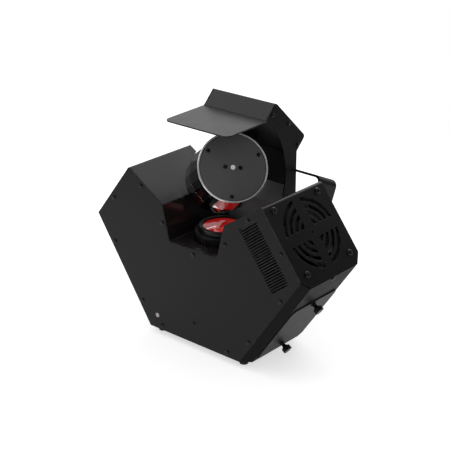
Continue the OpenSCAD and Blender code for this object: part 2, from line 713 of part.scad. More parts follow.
// The guard closes the notch's back and slopes up into the arm, clear of the drum.
guard_low_z = 164;
guard_slope = 38;
guard_high_y = arm_back_y - arm_t - 0.5;
guard_high_z = guard_low_z + (guard_high_y - case_depth) * tan(guard_slope);
module arm_guard_plate() color([0.3, 0.3, 0.31]) placed()
    profile_plate(-arm_half_w + arm_t, 2 * (arm_half_w - arm_t)) polygon([
        [case_depth, arm_low_z + arm_t], [case_depth, guard_low_z],
        [guard_high_y, guard_high_z], [guard_high_y, guard_high_z - arm_t / cos(guard_slope)],
        [case_depth + arm_t, guard_low_z - arm_t / 2], [case_depth + arm_t, arm_low_z + arm_t]]);

// The hood: a flat sheet from the canopy's front fold, with round front corners.
hood_drop = 1.2;
module drum_hood() color([0.09, 0.09, 0.095]) placed()
    translate([0, canopy_fold[0], canopy_fold[1]]) rotate([-hood_drop, 0, 180])
        translate([0, 0, -arm_t]) {
            w = arm_half_w + 0.3;
            c = hood_corner_r;
            linear_extrude(arm_t) polygon(concat([[-w, 0]], [[w, 0]],
                arc([w - c, hood_len - c], c, 0, 90, 8),
                arc([c - w, hood_len - c], c, 90, 180, 8)));
        }

// The mirror drum: two rows of flat mirrors round a barrel, open at the back.
rim_t = 2;
rim_gap = 0.9;
shell_front = drum_front - rim_t;
cap_r = 40.1;
cap_screw_r = 35.5;
module along_drum(x) {
    translate([x, 0, 0]) rotate([0, 90, 0]) children();
}
module mirror_row(from, to) {
    // One row, narrowing from the drum's middle to its end.
    along_drum(from) mirror([0, 0, to < from ? 1 : 0])
        linear_extrude(abs(to - from), scale = drum_end_r / drum_mid_r)
            polygon(ngon(mirror_count, drum_mid_r));
}
module drum_shell() color([0.6, 0.62, 0.65]) placed() at_rolled_drum() difference() {
    union() {
        mirror_row(0, shell_front);
        mirror_row(0, -drum_rear);
    }
    along_drum(-drum_rear - 1) cylinder(r = drum_end_r - drum_wall - 0.5,
        h = drum_rear + 1 + shell_front - drum_wall);
    along_drum(0) cylinder(r = cap_screw_r - 5, h = drum_front);
    cap_screw_places() translate([0, 0, -drum_wall - 1])
        cylinder(r = screw_shank_d / 2 + screw_gap, h = drum_wall + 2);
}
module cap_screw_places() {
    for (k = [0:2]) rotate([120 * k - 60, 0, 0]) translate([shell_front, 0, cap_screw_r])
        rotate([0, 90, 0]) children();
}
cap_t = 1.5;
hub_screw_r = 9.2;
module drum_end_cap() color([0.07, 0.07, 0.075]) placed() at_rolled_drum() {
    difference() {
        union() {
            along_drum(shell_front) cylinder(r = cap_r, h = cap_t);
            along_drum(shell_front - 6) cylinder(r = hub_screw_r + 4, h = 6);
            along_drum(motor_mouth - 12) cylinder(r = shaft_r,
                h = shell_front + cap_t + 0.4 - motor_mouth + 12);
        }
        cap_screw_places() translate([0, 0, -1])
            cylinder(r = screw_shank_d / 2 + screw_gap, h = cap_t + 2);
        hub_screw_places() translate([0, 0, -5])
            cylinder(r = screw_shank_d / 2 + screw_gap, h = 7);
    }
}
module hub_screw_places() {
    for (side = [-1, 1]) translate([shell_front + cap_t, side * hub_screw_r, 0])
        rotate([0, 90, 0]) children();
}
module drum_rim() color([0.85, 0.86, 0.88]) placed() at_rolled_drum() along_drum(shell_front)
    rotate_extrude() polygon([[cap_r + rim_gap, 0], [drum_end_r - 0.5, 0],
        [drum_end_r - 0.1, 0.4], [drum_end_r - 0.1, rim_t - 0.6], [drum_end_r - 0.7, rim_t],
        [cap_r + rim_gap, rim_t]]);
module drum_cap_screws() color([0.02, 0.02, 0.022]) placed() at_rolled_drum() {
    translate([cap_t, 0, 0]) cap_screw_places()
        screw(5, 1.3, screw_shank_d, cap_t + drum_wall);
    hub_screw_places() screw(5.3, 1.3, screw_shank_d, 4.5);
}

// The pan bracket: a hub and shaft on the pan axis, a plate over the drum, and an ear that
// carries the roll motor inside the drum.
bracket_low = drum_mid_r + drum_gap;
ear_x = -drum_rear - 2.5;
motor_mouth = ear_x + roll_motor_h;
module pan_bracket() color([0.06, 0.06, 0.065]) placed() at_drum() {
    w = pan_bracket_w / 2;
    t = pan_bracket_t;
    difference() {
        union() {
            translate([ear_x - t, -w, bracket_low]) cube([-ear_x + t, 2 * w, t]);
            translate([0, 0, bracket_low]) cylinder(r = w, h = t);
            translate([ear_x - t, -w, 0]) cube([t, 2 * w, bracket_low + t]);
            along_drum(ear_x - t) cylinder(r = w, h = t);
            translate([0, 0, bracket_low]) cylinder(r = pan_hub_r,
                h = canopy_low - bracket_low - 1);
            translate([0, 0, bracket_low]) cylinder(r = shaft_r,
                h = canopy_low + motor_plate_t + pan_motor_h * 0.4 - bracket_low);
        }
        for (turn = [0:90:270]) along_drum(ear_x - t - 1) rotate([0, 0, turn + 45])
            translate([w - 4, 0, 0]) cylinder(r = 1.6, h = t + 2);
    }
}
module roll_motor() color([0.12, 0.12, 0.13]) placed() at_drum() along_drum(ear_x)
    difference() {
        intersection() {
            translate([-roll_motor_w / 2, -roll_motor_w / 2, 0])
                cube([roll_motor_w, roll_motor_w, roll_motor_h]);
            cylinder(r = roll_motor_w * 0.63, h = roll_motor_h);
        }
        translate([0, 0, roll_motor_h - 14]) cylinder(r = shaft_r + running_gap, h = 15);
    }

// The lens group over the tray's hole: a fixed tube, a ribbed focus ring round the lens cell,
// and the cell that slides on the tube.
focus_travel = 6;
slide_gap = 0.1;
tube_r = lens_r + 1.7;
tube_wall = 2.5;
ring_low_z = notch_floor_z - 18;
tube_flange_t = 4;
cell_top_z = notch_floor_z + lens_cell_up;
ring_top_z = notch_floor_z + focus_ring_up;
cell_low_z = ring_low_z + focus_travel + 2;
tube_top_z = cell_top_z - focus_travel - 7.5;
module on_axis(z) {
    translate([0, mid_y, z]) children();
}
module lens_tube() color([0.08, 0.08, 0.085]) placed() difference() {
    union() {
        on_axis(wheel_plate_z + wheel_plate_t) cylinder(r = tube_r,
            h = tube_top_z - wheel_plate_z - wheel_plate_t);
        on_axis(ring_low_z - tube_flange_t) cylinder(r = focus_ring_r - 1, h = tube_flange_t);
        on_axis(wheel_plate_z + wheel_plate_t) cylinder(r = tube_r + 6, h = 2);
    }
    on_axis(wheel_plate_z) cylinder(r = tube_r - tube_wall, h = tube_top_z);
}
module focus_ring() color([0.05, 0.05, 0.055]) placed() difference() {
    union() {
        on_axis(ring_low_z) cylinder(r = focus_ring_r - 1, h = ring_top_z - ring_low_z);
        on_axis(notch_floor_z + 1.5) linear_extrude(focus_ring_up - 3)
            polygon([for (k = [0:focus_ribs - 1], e = [[0, 0], [0.15, 1], [0.5, 1], [0.65, 0]])
                (focus_ring_r - 1 + e[1]) * [cos(360 * (k + e[0]) / focus_ribs),
                    sin(360 * (k + e[0]) / focus_ribs)]]);
    }
    on_axis(ring_low_z - 1) cylinder(r = lens_cell_r + slide_gap,
        h = ring_top_z - ring_low_z + 2);
}
lens_seat_z = cell_top_z - 5;
module lens_cell() color([0.05, 0.05, 0.055]) placed() on_axis(0) rotate_extrude() polygon([
    [tube_r + slide_gap, cell_low_z], [lens_cell_r, cell_low_z], [lens_cell_r, cell_top_z - 1],
    [lens_cell_r - 1, cell_top_z], [lens_r + 0.6, cell_top_z], [lens_r + 0.1, cell_top_z - 0.6],
    [lens_r + 0.1, lens_seat_z], [lens_r - 1.5, lens_seat_z], [lens_r - 1.5, lens_seat_z - 1.2],
    [tube_r + slide_gap, lens_seat_z - 1.2]]);
// The front lens: flat below, domed above.
lens_edge_h = 2.4;
lens_dome = 2;
module front_lens() color([0.75, 0.05, 0.05, 0.8]) placed() on_axis(lens_seat_z)
    rotate_extrude() polygon(concat([[0, 0], [lens_r, 0]],
        [for (i = [0:12]) let (a = i / 12) [lens_r * cos(90 * a),
            lens_edge_h + lens_dome * sin(90 * a)]]));

// The light engine: a heat sink on the base with the light source, its condenser, and a plate
// with two motors that turn the colour and pattern wheels.
sink_base = 6;
fin_t = 2;
led_z = sheet_t + sink_h;
chip_pitch = 5.6;
chip_w = 3.6;
chip_t = 1.2;
module heat_sink() color([0.5, 0.51, 0.52]) placed() {
    translate([-sink_w / 2, mid_y - sink_w / 2, led_z - sink_base])
        cube([sink_w, sink_w, sink_base]);
    for (k = [0:sink_fins - 1])
        translate([-sink_w / 2 + k * (sink_w - fin_t) / (sink_fins - 1), mid_y - sink_w / 2,
            sheet_t]) cube([fin_t, sink_w, sink_h - sink_base]);
}
module led_board() color([0.8, 0.8, 0.75]) placed() {
    on_axis(led_z) translate([-led_board_w / 2, -led_board_w / 2, 0])
        cube([led_board_w, led_board_w, led_board_t]);
    for (dx = [-1, 1], dy = [-1, 1]) on_axis(led_z + led_board_t)
        translate([dx * chip_pitch / 2 - chip_w / 2, dy * chip_pitch / 2 - chip_w / 2, 0])
            cube([chip_w, chip_w, chip_t]);
}
module condenser_lens() color([0.8, 0.85, 0.9, 0.5]) placed() on_axis(led_z + led_board_t)
    rotate_extrude() polygon(concat([[7, 0], [9, 0], [condenser_r, 12], [condenser_r, 14]],
        [for (i = [1:8]) [condenser_r * cos(90 * i / 8), 14 + 2.5 * sin(90 * i / 8)]],
        [[0, 3], [7, 3]]));
wheel_plate_t = 2;
wheel_plate_up = 48;
wheel_plate_z = led_z + wheel_plate_up;
wheel_plate_half_w = 58;
wheel_plate_lip = 12;
wheels_under_plate = [24, 16];
wheel_low_z = [for (d = wheels_under_plate) wheel_plate_z - d];
module wheel_plate() color([0.4, 0.4, 0.41]) placed() difference() {
    union() {
        translate([-wheel_plate_half_w, sheet_t, wheel_plate_z])
            cube([2 * wheel_plate_half_w, case_depth - 2 * sheet_t, wheel_plate_t]);
        for (y = [sheet_t, case_depth - sheet_t - wheel_plate_t])
            translate([-wheel_plate_half_w, y, wheel_plate_z])
                cube([2 * wheel_plate_half_w, wheel_plate_t, wheel_plate_lip]);
    }
    on_axis(wheel_plate_z - 1) cylinder(r = tube_r - tube_wall, h = wheel_plate_t + 2);
}
module wheel_motors() color([0.12, 0.12, 0.13]) placed() for (side = [-1, 1]) difference() {
    translate([side * wheel_offset, mid_y, wheel_plate_z - wheel_motor_h])
        translate([-wheel_motor_w / 2, -wheel_motor_w / 2, 0])
            cube([wheel_motor_w, wheel_motor_w, wheel_motor_h]);
    translate([side * wheel_offset, mid_y, wheel_plate_z - wheel_motor_h - 1])
        cylinder(r = spindle_r + running_gap, h = wheel_motor_h);
}
// A wheel with a ring of windows, on a hub with a spindle up into its motor.
module effect_wheel(side, z) {
    translate([side * wheel_offset, mid_y, z]) difference() {
        union() {
            cylinder(r = wheel_r, h = wheel_t);
            translate([0, 0, -1]) cylinder(r = 6, h = wheel_t + 3);
            cylinder(r = spindle_r, h = wheel_plate_z - 3 - z);
        }
        for (k = [0:wheel_windows - 1]) rotate([0, 0, 360 * k / wheel_windows])
            children();
    }
}
module color_wheel() color([0.7, 0.3, 0.3]) placed() effect_wheel(1, wheel_low_z[0])
    translate([-wheel_offset, 0, -1]) cylinder(r = wheel_window_r, h = wheel_t + 2);
module pattern_wheel() color([0.5, 0.5, 0.52]) placed() effect_wheel(-1, wheel_low_z[1])
    for (k = [0:4]) translate([wheel_offset, 0, -1]) rotate([0, 0, 72 * k])
        translate([wheel_window_r * 0.55, 0, 0]) cylinder(r = wheel_window_r * 0.25,
            h = wheel_t + 2);

// The cooling fan: a square frame with a hub on four struts, and a rotor on its pin.
module fan_place() {
    on_facet(ridge, fan_run) translate([fan_along, mid_y, -sheet_t - fan_t]) children();
}
fan_hub_r = 19;
fan_pin_r = 2;
module fan_frame() color([0.1, 0.1, 0.105]) placed() fan_place() {
    difference() {
        translate([-fan_w / 2, -fan_w / 2, 0]) cube([fan_w, fan_w, fan_t]);
        translate([0, 0, -1]) cylinder(r = fan_bore_r, h = fan_t + 2);
        for (dx = [-1, 1], dy = [-1, 1])
            translate([dx * fan_pitch / 2, dy * fan_pitch / 2, -1])
                cylinder(r = screw_shank_d / 2 + screw_gap, h = fan_t + 2);
    }
    cylinder(r = fan_hub_r, h = 3);
    for (turn = [45:90:315]) rotate([0, 0, turn]) translate([0, -2, 0])
        cube([fan_bore_r + 0.5, 4, 3]);
    cylinder(r = fan_pin_r, h = fan_t - 5);
}
module fan_rotor() color([0.08, 0.08, 0.085]) placed() fan_place() translate([0, 0, 3.5])
    difference() {
        union() {
            cylinder(r = fan_hub_r, h = fan_t - 6);
            intersection() {
                for (k = [0:6]) rotate([0, 0, 360 * k / 7]) translate([0, 0, (fan_t - 6) / 2])
                    rotate([38, 0, 0]) translate([fan_hub_r - 3, -13, -0.8])
                        cube([fan_bore_r, 26, 1.6]);
                cylinder(r = fan_bore_r - 1.5, h = fan_t - 6);
            }
        }
        translate([0, 0, -1]) cylinder(r = fan_pin_r + running_gap, h = fan_t - 7);
    }

// Screws, feet and the small pieces of the case.
module case_screws() color([0.02, 0.02, 0.022]) placed() {
    len = 2 * sheet_t + 1;
    translate([0, 0, rivet_z]) rotate([90, 0, 0]) {
        cylinder(d = rivet_d, h = 0.8);
        translate([0, 0, -sheet_t - 1]) cylinder(r = rivet_shank_r, h = sheet_t + 1.5);
    }
    for (place = screw_places) {
        p = screw_point(place);
        translate([p[0], 0, p[1]]) rotate([90, 0, 0])
            screw(screw_head_d, screw_head_h, screw_shank_d, len);
        if (place[0] < 3 || place[0] > 5) translate([p[0], case_depth, p[1]])
            rotate([-90, 0, 0]) screw(screw_head_d, screw_head_h, screw_shank_d, len);
    }
    for (side = [0, 1]) mirror([side, 0, 0]) {
        cover_screw_place() screw(screw_head_d, screw_head_h, screw_shank_d, sheet_t + 2);
        for (dz = ear_screws_at)
            translate([ear_in - ear_screw_in, case_depth + ear_base_t, pivot_z + dz])
                rotate([-90, 0, 0])
                    screw(screw_head_d, screw_head_h, screw_shank_d, ear_base_t + 2 * sheet_t);
    }
}
module fan_screws() color([0.03, 0.03, 0.032]) placed() on_facet(ridge, fan_run)
    fan_corners(grille_t) screw(fan_screw_head_d, 2.2, screw_shank_d, grille_t + sheet_t + 12);
module canopy_screws() color([0.02, 0.02, 0.022]) placed() {
    for (side = [-1, 1], p = canopy_screws_at)
        translate([side * arm_half_w, p[0], p[1]]) rotate([0, side * 90, 0])
            screw(screw_head_d, screw_head_h, screw_shank_d, 2 * arm_t + 1);
}
module feet_places() {
    for (x = [-foot_x, foot_x], y = [foot_inset, case_depth - foot_inset])
        translate([x, y, 0]) children();
}
module rubber_feet() color([0.04, 0.04, 0.042]) placed() feet_places() difference() {
    union() {
        translate([0, 0, -foot_h]) cylinder(d1 = foot_d * 0.88, d2 = foot_d, h = foot_h);
        cylinder(d = screw_shank_d, h = sheet_t + 1.5);
    }
    translate([0, 0, -foot_h - 1]) cylinder(d = foot_d * 0.45, h = 3);
}
module indicator_window() color([0.9, 0.88, 0.86]) placed()
    translate([indicator_at[0], 0, indicator_at[1]]) rotate([90, 0, 0]) {
        cylinder(d = indicator_d + 1, h = 0.4);
        translate([0, 0, -sheet_t - 3]) cylinder(d = indicator_d, h = sheet_t + 3.2);
    }

// The hanging bracket turns on two ears behind the case and is locked by two hand knobs.
ear_t = 4;
ear_gap = 0.3;
ear_in = strap_inside / 2 - ear_gap - ear_t;
pivot_r = 4;
ear_h = 36;
ear_base_t = 3;
ear_base_w = 22;
ear_screw_in = 12;
knob_d = 26;
knob_h = 16;
module at_pivot(x) {
    translate([x, pivot_y, pivot_z]) rotate([0, 90, 0]) children();
}
module bracket_ears() color([0.05, 0.05, 0.055]) placed() for (side = [-1, 1])
    mirror([side < 0 ? 1 : 0, 0, 0]) difference() {
        union() {
            translate([ear_in, case_depth, pivot_z - ear_h / 2])
                cube([ear_t, pivot_back, ear_h]);
            at_pivot(ear_in) cylinder(d = ear_h, h = ear_t);
            translate([ear_in - ear_base_w, case_depth, pivot_z - ear_h / 2])
                cube([ear_base_w, ear_base_t, ear_h]);
            at_pivot(ear_in) cylinder(r = pivot_r, h = ear_t + ear_gap + strap_t + 1);
        }
        ear_holes();
    }
// The screws that hold the right ear, as heights from its middle.
ear_screws_at = [-11, 11];
module ear_holes() {
    for (dz = ear_screws_at) translate([ear_in - ear_screw_in, case_depth - sheet_t - 1,
        pivot_z + dz])
        rotate([-90, 0, 0]) cylinder(r = screw_shank_d / 2 + screw_gap, h = sheet_t + ear_base_t + 2);
}
module strap_frame() {
    translate([0, pivot_y, pivot_z]) rotate([-strap_lean, 0, 0]) children();
}
module hanging_bracket() color([0.05, 0.05, 0.055]) placed() strap_frame() difference() {
    x = strap_inside / 2;
    bend = 6;
    union() {
        rotate([90, 0, 0]) translate([0, 0, -strap_w / 2]) linear_extrude(strap_w)
            polygon(concat([[-x, 0], [-x - strap_t, 0]],
                arc([-x + bend, strap_len - bend - strap_t / 2], bend + strap_t, 180, 90, 8),
                arc([x - bend, strap_len - bend - strap_t / 2], bend + strap_t, 90, 0, 8),
                [[x + strap_t, 0], [x, 0]],
                arc([x - bend, strap_len - bend - strap_t / 2], bend, 0, 90, 8),
                arc([-x + bend, strap_len - bend - strap_t / 2], bend, 90, 180, 8)));
        for (s = [-x - strap_t, x]) translate([s, 0, 0]) rotate([0, 90, 0])
            cylinder(d = strap_w, h = strap_t);
    }
    translate([-x - strap_t - 1, 0, 0]) rotate([0, 90, 0])
        cylinder(r = pivot_r + running_gap, h = 2 * (x + strap_t + 1));
    translate([0, 0, strap_len - strap_t * 2]) cylinder(d = clamp_hole_d, h = strap_t * 4);
    for (s = [-1, 1]) translate([s * 45, 0, strap_len - strap_t * 2])
        cylinder(d = clamp_hole_d * 0.7, h = strap_t * 4);
}
module knob(side) {
    at = side * (strap_inside / 2 + strap_t + 0.3);
    translate([at, pivot_y, pivot_z]) rotate([0, side * 90, 0]) difference() {
        union() {
            cylinder(d = knob_d * 0.6, h = 4);
            translate([0, 0, 4]) cylinder(d = knob_d, h = knob_h - 6);
            translate([0, 0, knob_h - 2]) cylinder(d1 = knob_d, d2 = knob_d - 5, h = 2);
        }
        for (k = [0:5]) rotate([0, 0, 60 * k]) translate([knob_d / 2 + 2.2, 0, 3.5])
            cylinder(r = 4.6, h = knob_h);
        translate([0, 0, -1]) cylinder(r = pivot_r + running_gap, h = 1.9);
    }
}
module bracket_knob_left() color([0.03, 0.03, 0.032]) placed() knob(-1);
module bracket_knob_right() color([0.03, 0.03, 0.032]) placed() knob(1);

// The back panel: a display with four menu buttons, and the sockets below.
panel_z = 62;
socket_z = 26;
display_x = -32;
first_button_x = 8;
data_x = [-46, -18];
inlet_x = 22;
fuse_x = 52;
button_gap = 0.4;
wall_y = case_depth - sheet_t;
module back_hole(x, z) {
    translate([x, wall_y - 1, z]) rotate([-90, 0, 0]) children();
}
module back_plate() color([0.05, 0.05, 0.055]) placed() difference() {
    case_plate(wall_y);
    screw_holes();
    for (side = [0, 1]) mirror([side, 0, 0]) ear_holes();
    translate([display_x - display_w / 2, wall_y - 1, panel_z - display_h / 2])
        cube([display_w, sheet_t + 2, display_h]);
    for (i = [0:3]) back_hole(first_button_x + i * button_pitch, panel_z)
        cylinder(d = button_d + 2 * button_gap, h = sheet_t + 2);
    for (x = data_x) back_hole(x, socket_z) cylinder(d = data_d, h = sheet_t + 2);
    back_hole(fuse_x, socket_z) cylinder(d = fuse_d - 2, h = sheet_t + 2);
    translate([inlet_x - inlet_w / 2, wall_y - 1, socket_z - inlet_h / 2])
        cube([inlet_w, sheet_t + 2, inlet_h]);
}
module display_window() color([0.02, 0.02, 0.03]) placed() {
    g = screw_gap;
    translate([display_x - display_w / 2 + g, wall_y, panel_z - display_h / 2 + g])
        cube([display_w - 2 * g, sheet_t + 0.3, display_h - 2 * g]);
    translate([display_x - display_w / 2 - 2, wall_y - 1.5, panel_z - display_h / 2 - 2])
        cube([display_w + 4, 1.5, display_h + 4]);
}
button_out = 2.2;
collar_t = 1.2;
collar_gap = 0.3;
module menu_button(i) {
    translate([first_button_x + i * button_pitch, wall_y - collar_gap, panel_z])
        rotate([-90, 0, 0]) {
            translate([0, 0, -collar_t]) cylinder(d = button_d + 3, h = collar_t);
            cylinder(d = button_d, h = collar_gap + sheet_t + button_out - 0.5);
            translate([0, 0, collar_gap + sheet_t + button_out - 0.5])
                cylinder(d1 = button_d, d2 = button_d - 1, h = 0.5);
        }
}
module menu_button_1() color([0.1, 0.1, 0.1]) placed() menu_button(0);
module menu_button_2() color([0.1, 0.1, 0.1]) placed() menu_button(1);
module menu_button_3() color([0.1, 0.1, 0.1]) placed() menu_button(2);
module menu_button_4() color([0.1, 0.1, 0.1]) placed() menu_button(3);

// Round three-pole data sockets: one with pins in a shell, one with holes for pins.
data_flange_t = 2;
data_body_l = 18;
pin_recess = 6;
pole_r = 4;
module data_sockets() color([0.15, 0.15, 0.155]) placed() for (i = [0, 1])
    translate([data_x[i], case_depth, socket_z]) rotate([-90, 0, 0]) {
        difference() {
            union() {
                translate([-13, -15.5, 0]) cube([26, 31, data_flange_t]);
                translate([0, 0, -data_body_l])
                    cylinder(d = data_d - 2 * screw_gap, h = data_body_l + 1);
            }
            if (i == 0) translate([0, 0, 3 - data_body_l])
                cylinder(d = data_d - 3.4, h = data_body_l);
            else for (k = [0:2]) rotate([0, 0, 90 * k]) translate([pole_r, 0, -10])
                cylinder(r = 1.3, h = 13);
            for (s = [-1, 1]) translate([s * 9.8, s * 12.3, -1])
                cylinder(r = 1.6, h = data_flange_t + 2);
        }
        if (i == 0) for (k = [0:2]) rotate([0, 0, 90 * k])
            translate([pole_r, 0, 2.5 - data_body_l])
                cylinder(r = 1.2, h = data_body_l - 2.5 - pin_recess);
    }
// The mains inlet: a flanged box with three blades set back from its mouth.
module power_inlet() color([0.04, 0.04, 0.042]) placed()
    translate([inlet_x, case_depth, socket_z]) rotate([-90, 0, 0]) {
        g = screw_gap;
        wall = 1.4;
        deep = 16;
        difference() {
            union() {
                translate([-inlet_w / 2 - 2.5, -inlet_h / 2 - 2.5, 0])
                    cube([inlet_w + 5, inlet_h + 5, 2]);
                translate([g - inlet_w / 2, g - inlet_h / 2, -deep - 2])
                    cube([inlet_w - 2 * g, inlet_h - 2 * g, deep + 3]);
            }
            translate([wall - inlet_w / 2, wall - inlet_h / 2, -deep])
                cube([inlet_w - 2 * wall, inlet_h - 2 * wall, deep + 3]);
        }
        for (p = [[-7, 2], [0, -2], [7, 2]]) translate([p[0] - 1, p[1] - 2, -deep - 1])
            cube([2, 4, deep + 1 - pin_recess]);
    }
module fuse_holder() color([0.05, 0.05, 0.052]) placed()
    translate([fuse_x, case_depth, socket_z]) rotate([-90, 0, 0]) difference() {
        union() {
            translate([0, 0, -22]) cylinder(d = fuse_d - 2 - 2 * screw_gap, h = 23);
            cylinder(d = fuse_d + 3, h = 1.5);
            cylinder(d = fuse_d, h = 7);
        }
        translate([-fuse_d / 2 + 2, -0.8, 5.5]) cube([fuse_d - 4, 1.6, 3]);
        for (k = [0:11]) rotate([0, 0, 30 * k]) translate([fuse_d / 2 + 0.4, 0, 2.5])
            cylinder(r = 0.9, h = 6, $fn = 24);
    }

// The power supply stands on the base, and the boards stand off the back plate.
board_t = 1.6;
board_off = 6.4;
supply_w = 28;
supply_h = 30;
supply_y = 10;
// The main board's left edge, lower edge, width and height.
main_board = [-112, 90, 44, 66];
module board(x, z, w, h) {
    translate([x, wall_y - board_off - board_t, z]) cube([w, board_t, h]);
    for (dx = [4, w - 4], dz = [4, h - 4]) translate([x + dx, wall_y - board_off, z + dz])
        rotate([-90, 0, 0]) cylinder(r = 2.5, h = board_off);
}
module electronics() color([0.1, 0.35, 0.18]) placed() {
    translate([-sink_w / 2 - 3 - supply_w, supply_y, sheet_t])
        cube([supply_w, wall_y - data_body_l - 4 - supply_y, supply_h]);
    board(main_board[0], main_board[1], main_board[2], main_board[3]);
    board(display_x - display_w / 2 - 9, panel_z - display_h / 2 - 10,
        first_button_x + 3 * button_pitch - display_x + display_w / 2 + 20, display_h + 20);
    for (i = [0:3]) translate([first_button_x + i * button_pitch - 3, 0, panel_z - 3])
        translate([0, wall_y - board_off, 0])
            cube([6, board_off - collar_gap - collar_t - button_travel - 0.3, 6]);
}

front_plate();
back_plate();
base_plate();
left_side_panel();
left_vent_panel();
left_roof_panel();
right_roof_panel();
fan_panel();
right_side_panel();
notch_tray();
fan_grille_plate();
lower_left_cover();
lower_right_cover();
access_door();
upper_thumbscrew();
lower_thumbscrew();
canopy_side_left();
canopy_side_right();
canopy_shell();
arm_guard_plate();
drum_hood();
case_screws();
fan_screws();
canopy_screws();
rubber_feet();
fan_frame();
fan_rotor();
heat_sink();
led_board();
condenser_lens();
wheel_plate();
wheel_motors();
color_wheel();
pattern_wheel();
lens_tube();
focus_ring();
lens_cell();
front_lens();
pan_motor_plate();
pan_motor();
pan_bracket();
roll_motor();
drum_shell();
drum_end_cap();
drum_rim();
drum_cap_screws();
bracket_ears();
hanging_bracket();
bracket_knob_left();
bracket_knob_right();
display_window();
menu_button_1();
menu_button_2();
menu_button_3();
menu_button_4();
data_sockets();
power_inlet();
fuse_holder();
electronics();
indicator_window();
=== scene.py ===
import json
import math

import bmesh
import bpy
import numpy as np
from mathutils import Matrix, Vector


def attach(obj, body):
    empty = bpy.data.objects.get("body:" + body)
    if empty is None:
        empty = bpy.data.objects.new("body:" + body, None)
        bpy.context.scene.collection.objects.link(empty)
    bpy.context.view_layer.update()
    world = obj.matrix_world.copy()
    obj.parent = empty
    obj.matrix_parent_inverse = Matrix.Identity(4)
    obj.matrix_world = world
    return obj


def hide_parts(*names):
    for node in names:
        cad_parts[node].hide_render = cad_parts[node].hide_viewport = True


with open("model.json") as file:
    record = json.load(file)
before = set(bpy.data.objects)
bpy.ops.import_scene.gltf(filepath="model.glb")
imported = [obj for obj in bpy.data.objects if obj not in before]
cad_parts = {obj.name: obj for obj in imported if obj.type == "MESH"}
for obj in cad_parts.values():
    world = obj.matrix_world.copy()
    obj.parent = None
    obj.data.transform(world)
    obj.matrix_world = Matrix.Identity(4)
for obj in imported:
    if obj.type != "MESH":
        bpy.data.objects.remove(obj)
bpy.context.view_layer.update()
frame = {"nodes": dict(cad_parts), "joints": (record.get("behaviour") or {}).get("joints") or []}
nodes = frame["nodes"]
joints = {j["name"]: j for j in frame["joints"]}


# The view: the camera stands in front, to the right and a little above, as in the photograph.
# Its place and lens were solved from the case's corners.
CAMERA_AT = Vector((0.9136, -1.0820, 0.7383))
CAMERA_AZIMUTH = math.radians(40.876)
CAMERA_RISE = math.radians(22.798)
CAMERA_LENS = 97.37
camera_data = bpy.data.cameras.new("camera")
camera_data.sensor_width = 36
camera_data.lens = CAMERA_LENS
camera_data.clip_start = 0.01
camera = bpy.data.objects.new("camera", camera_data)
camera.location = CAMERA_AT
camera.rotation_euler = (math.pi / 2 - CAMERA_RISE, 0, CAMERA_AZIMUTH)
bpy.context.scene.collection.objects.link(camera)
bpy.context.scene.camera = camera


# The studio: a white floor that keeps the soft shadow, a white background, and soft lamps.
# Metal, glass and the coat's gloss show the background too, with the dark room to the right.
AROUND = 0.48
FLOOR_LIFT = 0.60
BRIGHT_SIDE = Vector((-0.25, 0.75, 0.60)).normalized()
BRIGHT_FROM = 0.62
BRIGHT_TO = 0.93
ROOM_DARK = 0.09
ROOM_BRIGHT = 1.15
FLOOR_SIZE = 1.7
FLOOR_WHITE = 0.86


def node_tree(owner):
    """The emptied node tree of a material or a world: its nodes and its links."""
    owner.use_nodes = True
    owner.node_tree.nodes.clear()
    return owner.node_tree.nodes, owner.node_tree.links


def calculate(make, link, operation, *given):
    """A math node of the given operation; numbers are set and sockets are linked."""
    node = make.new("ShaderNodeMath")
    node.operation = operation
    for k, value in enumerate(given):
        if isinstance(value, (int, float)):
            node.inputs[k].default_value = value
        else:
            link.new(value, node.inputs[k])
    return node.outputs[0]


def studio_world():
    """Even pale light all round, with one bright side and a dark room in what mirrors."""
    world = bpy.data.worlds.new("surround")
    bpy.context.scene.world = world
    make, link = node_tree(world)
    output = make.new("ShaderNodeOutputWorld")
    path = make.new("ShaderNodeLightPath")
    around = make.new("ShaderNodeBackground")
    around.inputs["Strength"].default_value = AROUND
    around.inputs["Color"].default_value = (1, 1, 1, 1)
    seen = make.new("ShaderNodeBackground")
    seen.inputs["Color"].default_value = (1, 1, 1, 1)
    place = make.new("ShaderNodeTexCoord")
    turn = make.new("ShaderNodeVectorMath")
    turn.operation = "DOT_PRODUCT"
    turn.inputs[1].default_value = BRIGHT_SIDE
    link.new(place.outputs["Generated"], turn.inputs[0])
    room = make.new("ShaderNodeMapRange")
    room.interpolation_type = "SMOOTHSTEP"
    room.inputs["From Min"].default_value = BRIGHT_FROM
    room.inputs["From Max"].default_value = BRIGHT_TO
    room.inputs["To Min"].default_value = ROOM_DARK
    room.inputs["To Max"].default_value = ROOM_BRIGHT
    link.new(turn.outputs["Value"], room.inputs["Value"])
    camera_ray = path.outputs["Is Camera Ray"]
    mirrored = calculate(make, link, "MAXIMUM", path.outputs["Is Glossy Ray"],
                         path.outputs["Is Transmission Ray"])
    white = calculate(make, link, "MAXIMUM", camera_ray, room.outputs["Result"])
    link.new(white, seen.inputs["Strength"])
    mix = make.new("ShaderNodeMixShader")
    link.new(calculate(make, link, "MAXIMUM", camera_ray, mirrored), mix.inputs["Fac"])
    link.new(around.outputs[0], mix.inputs[1])
    link.new(seen.outputs[0], mix.inputs[2])
    link.new(mix.outputs[0], output.inputs["Surface"])


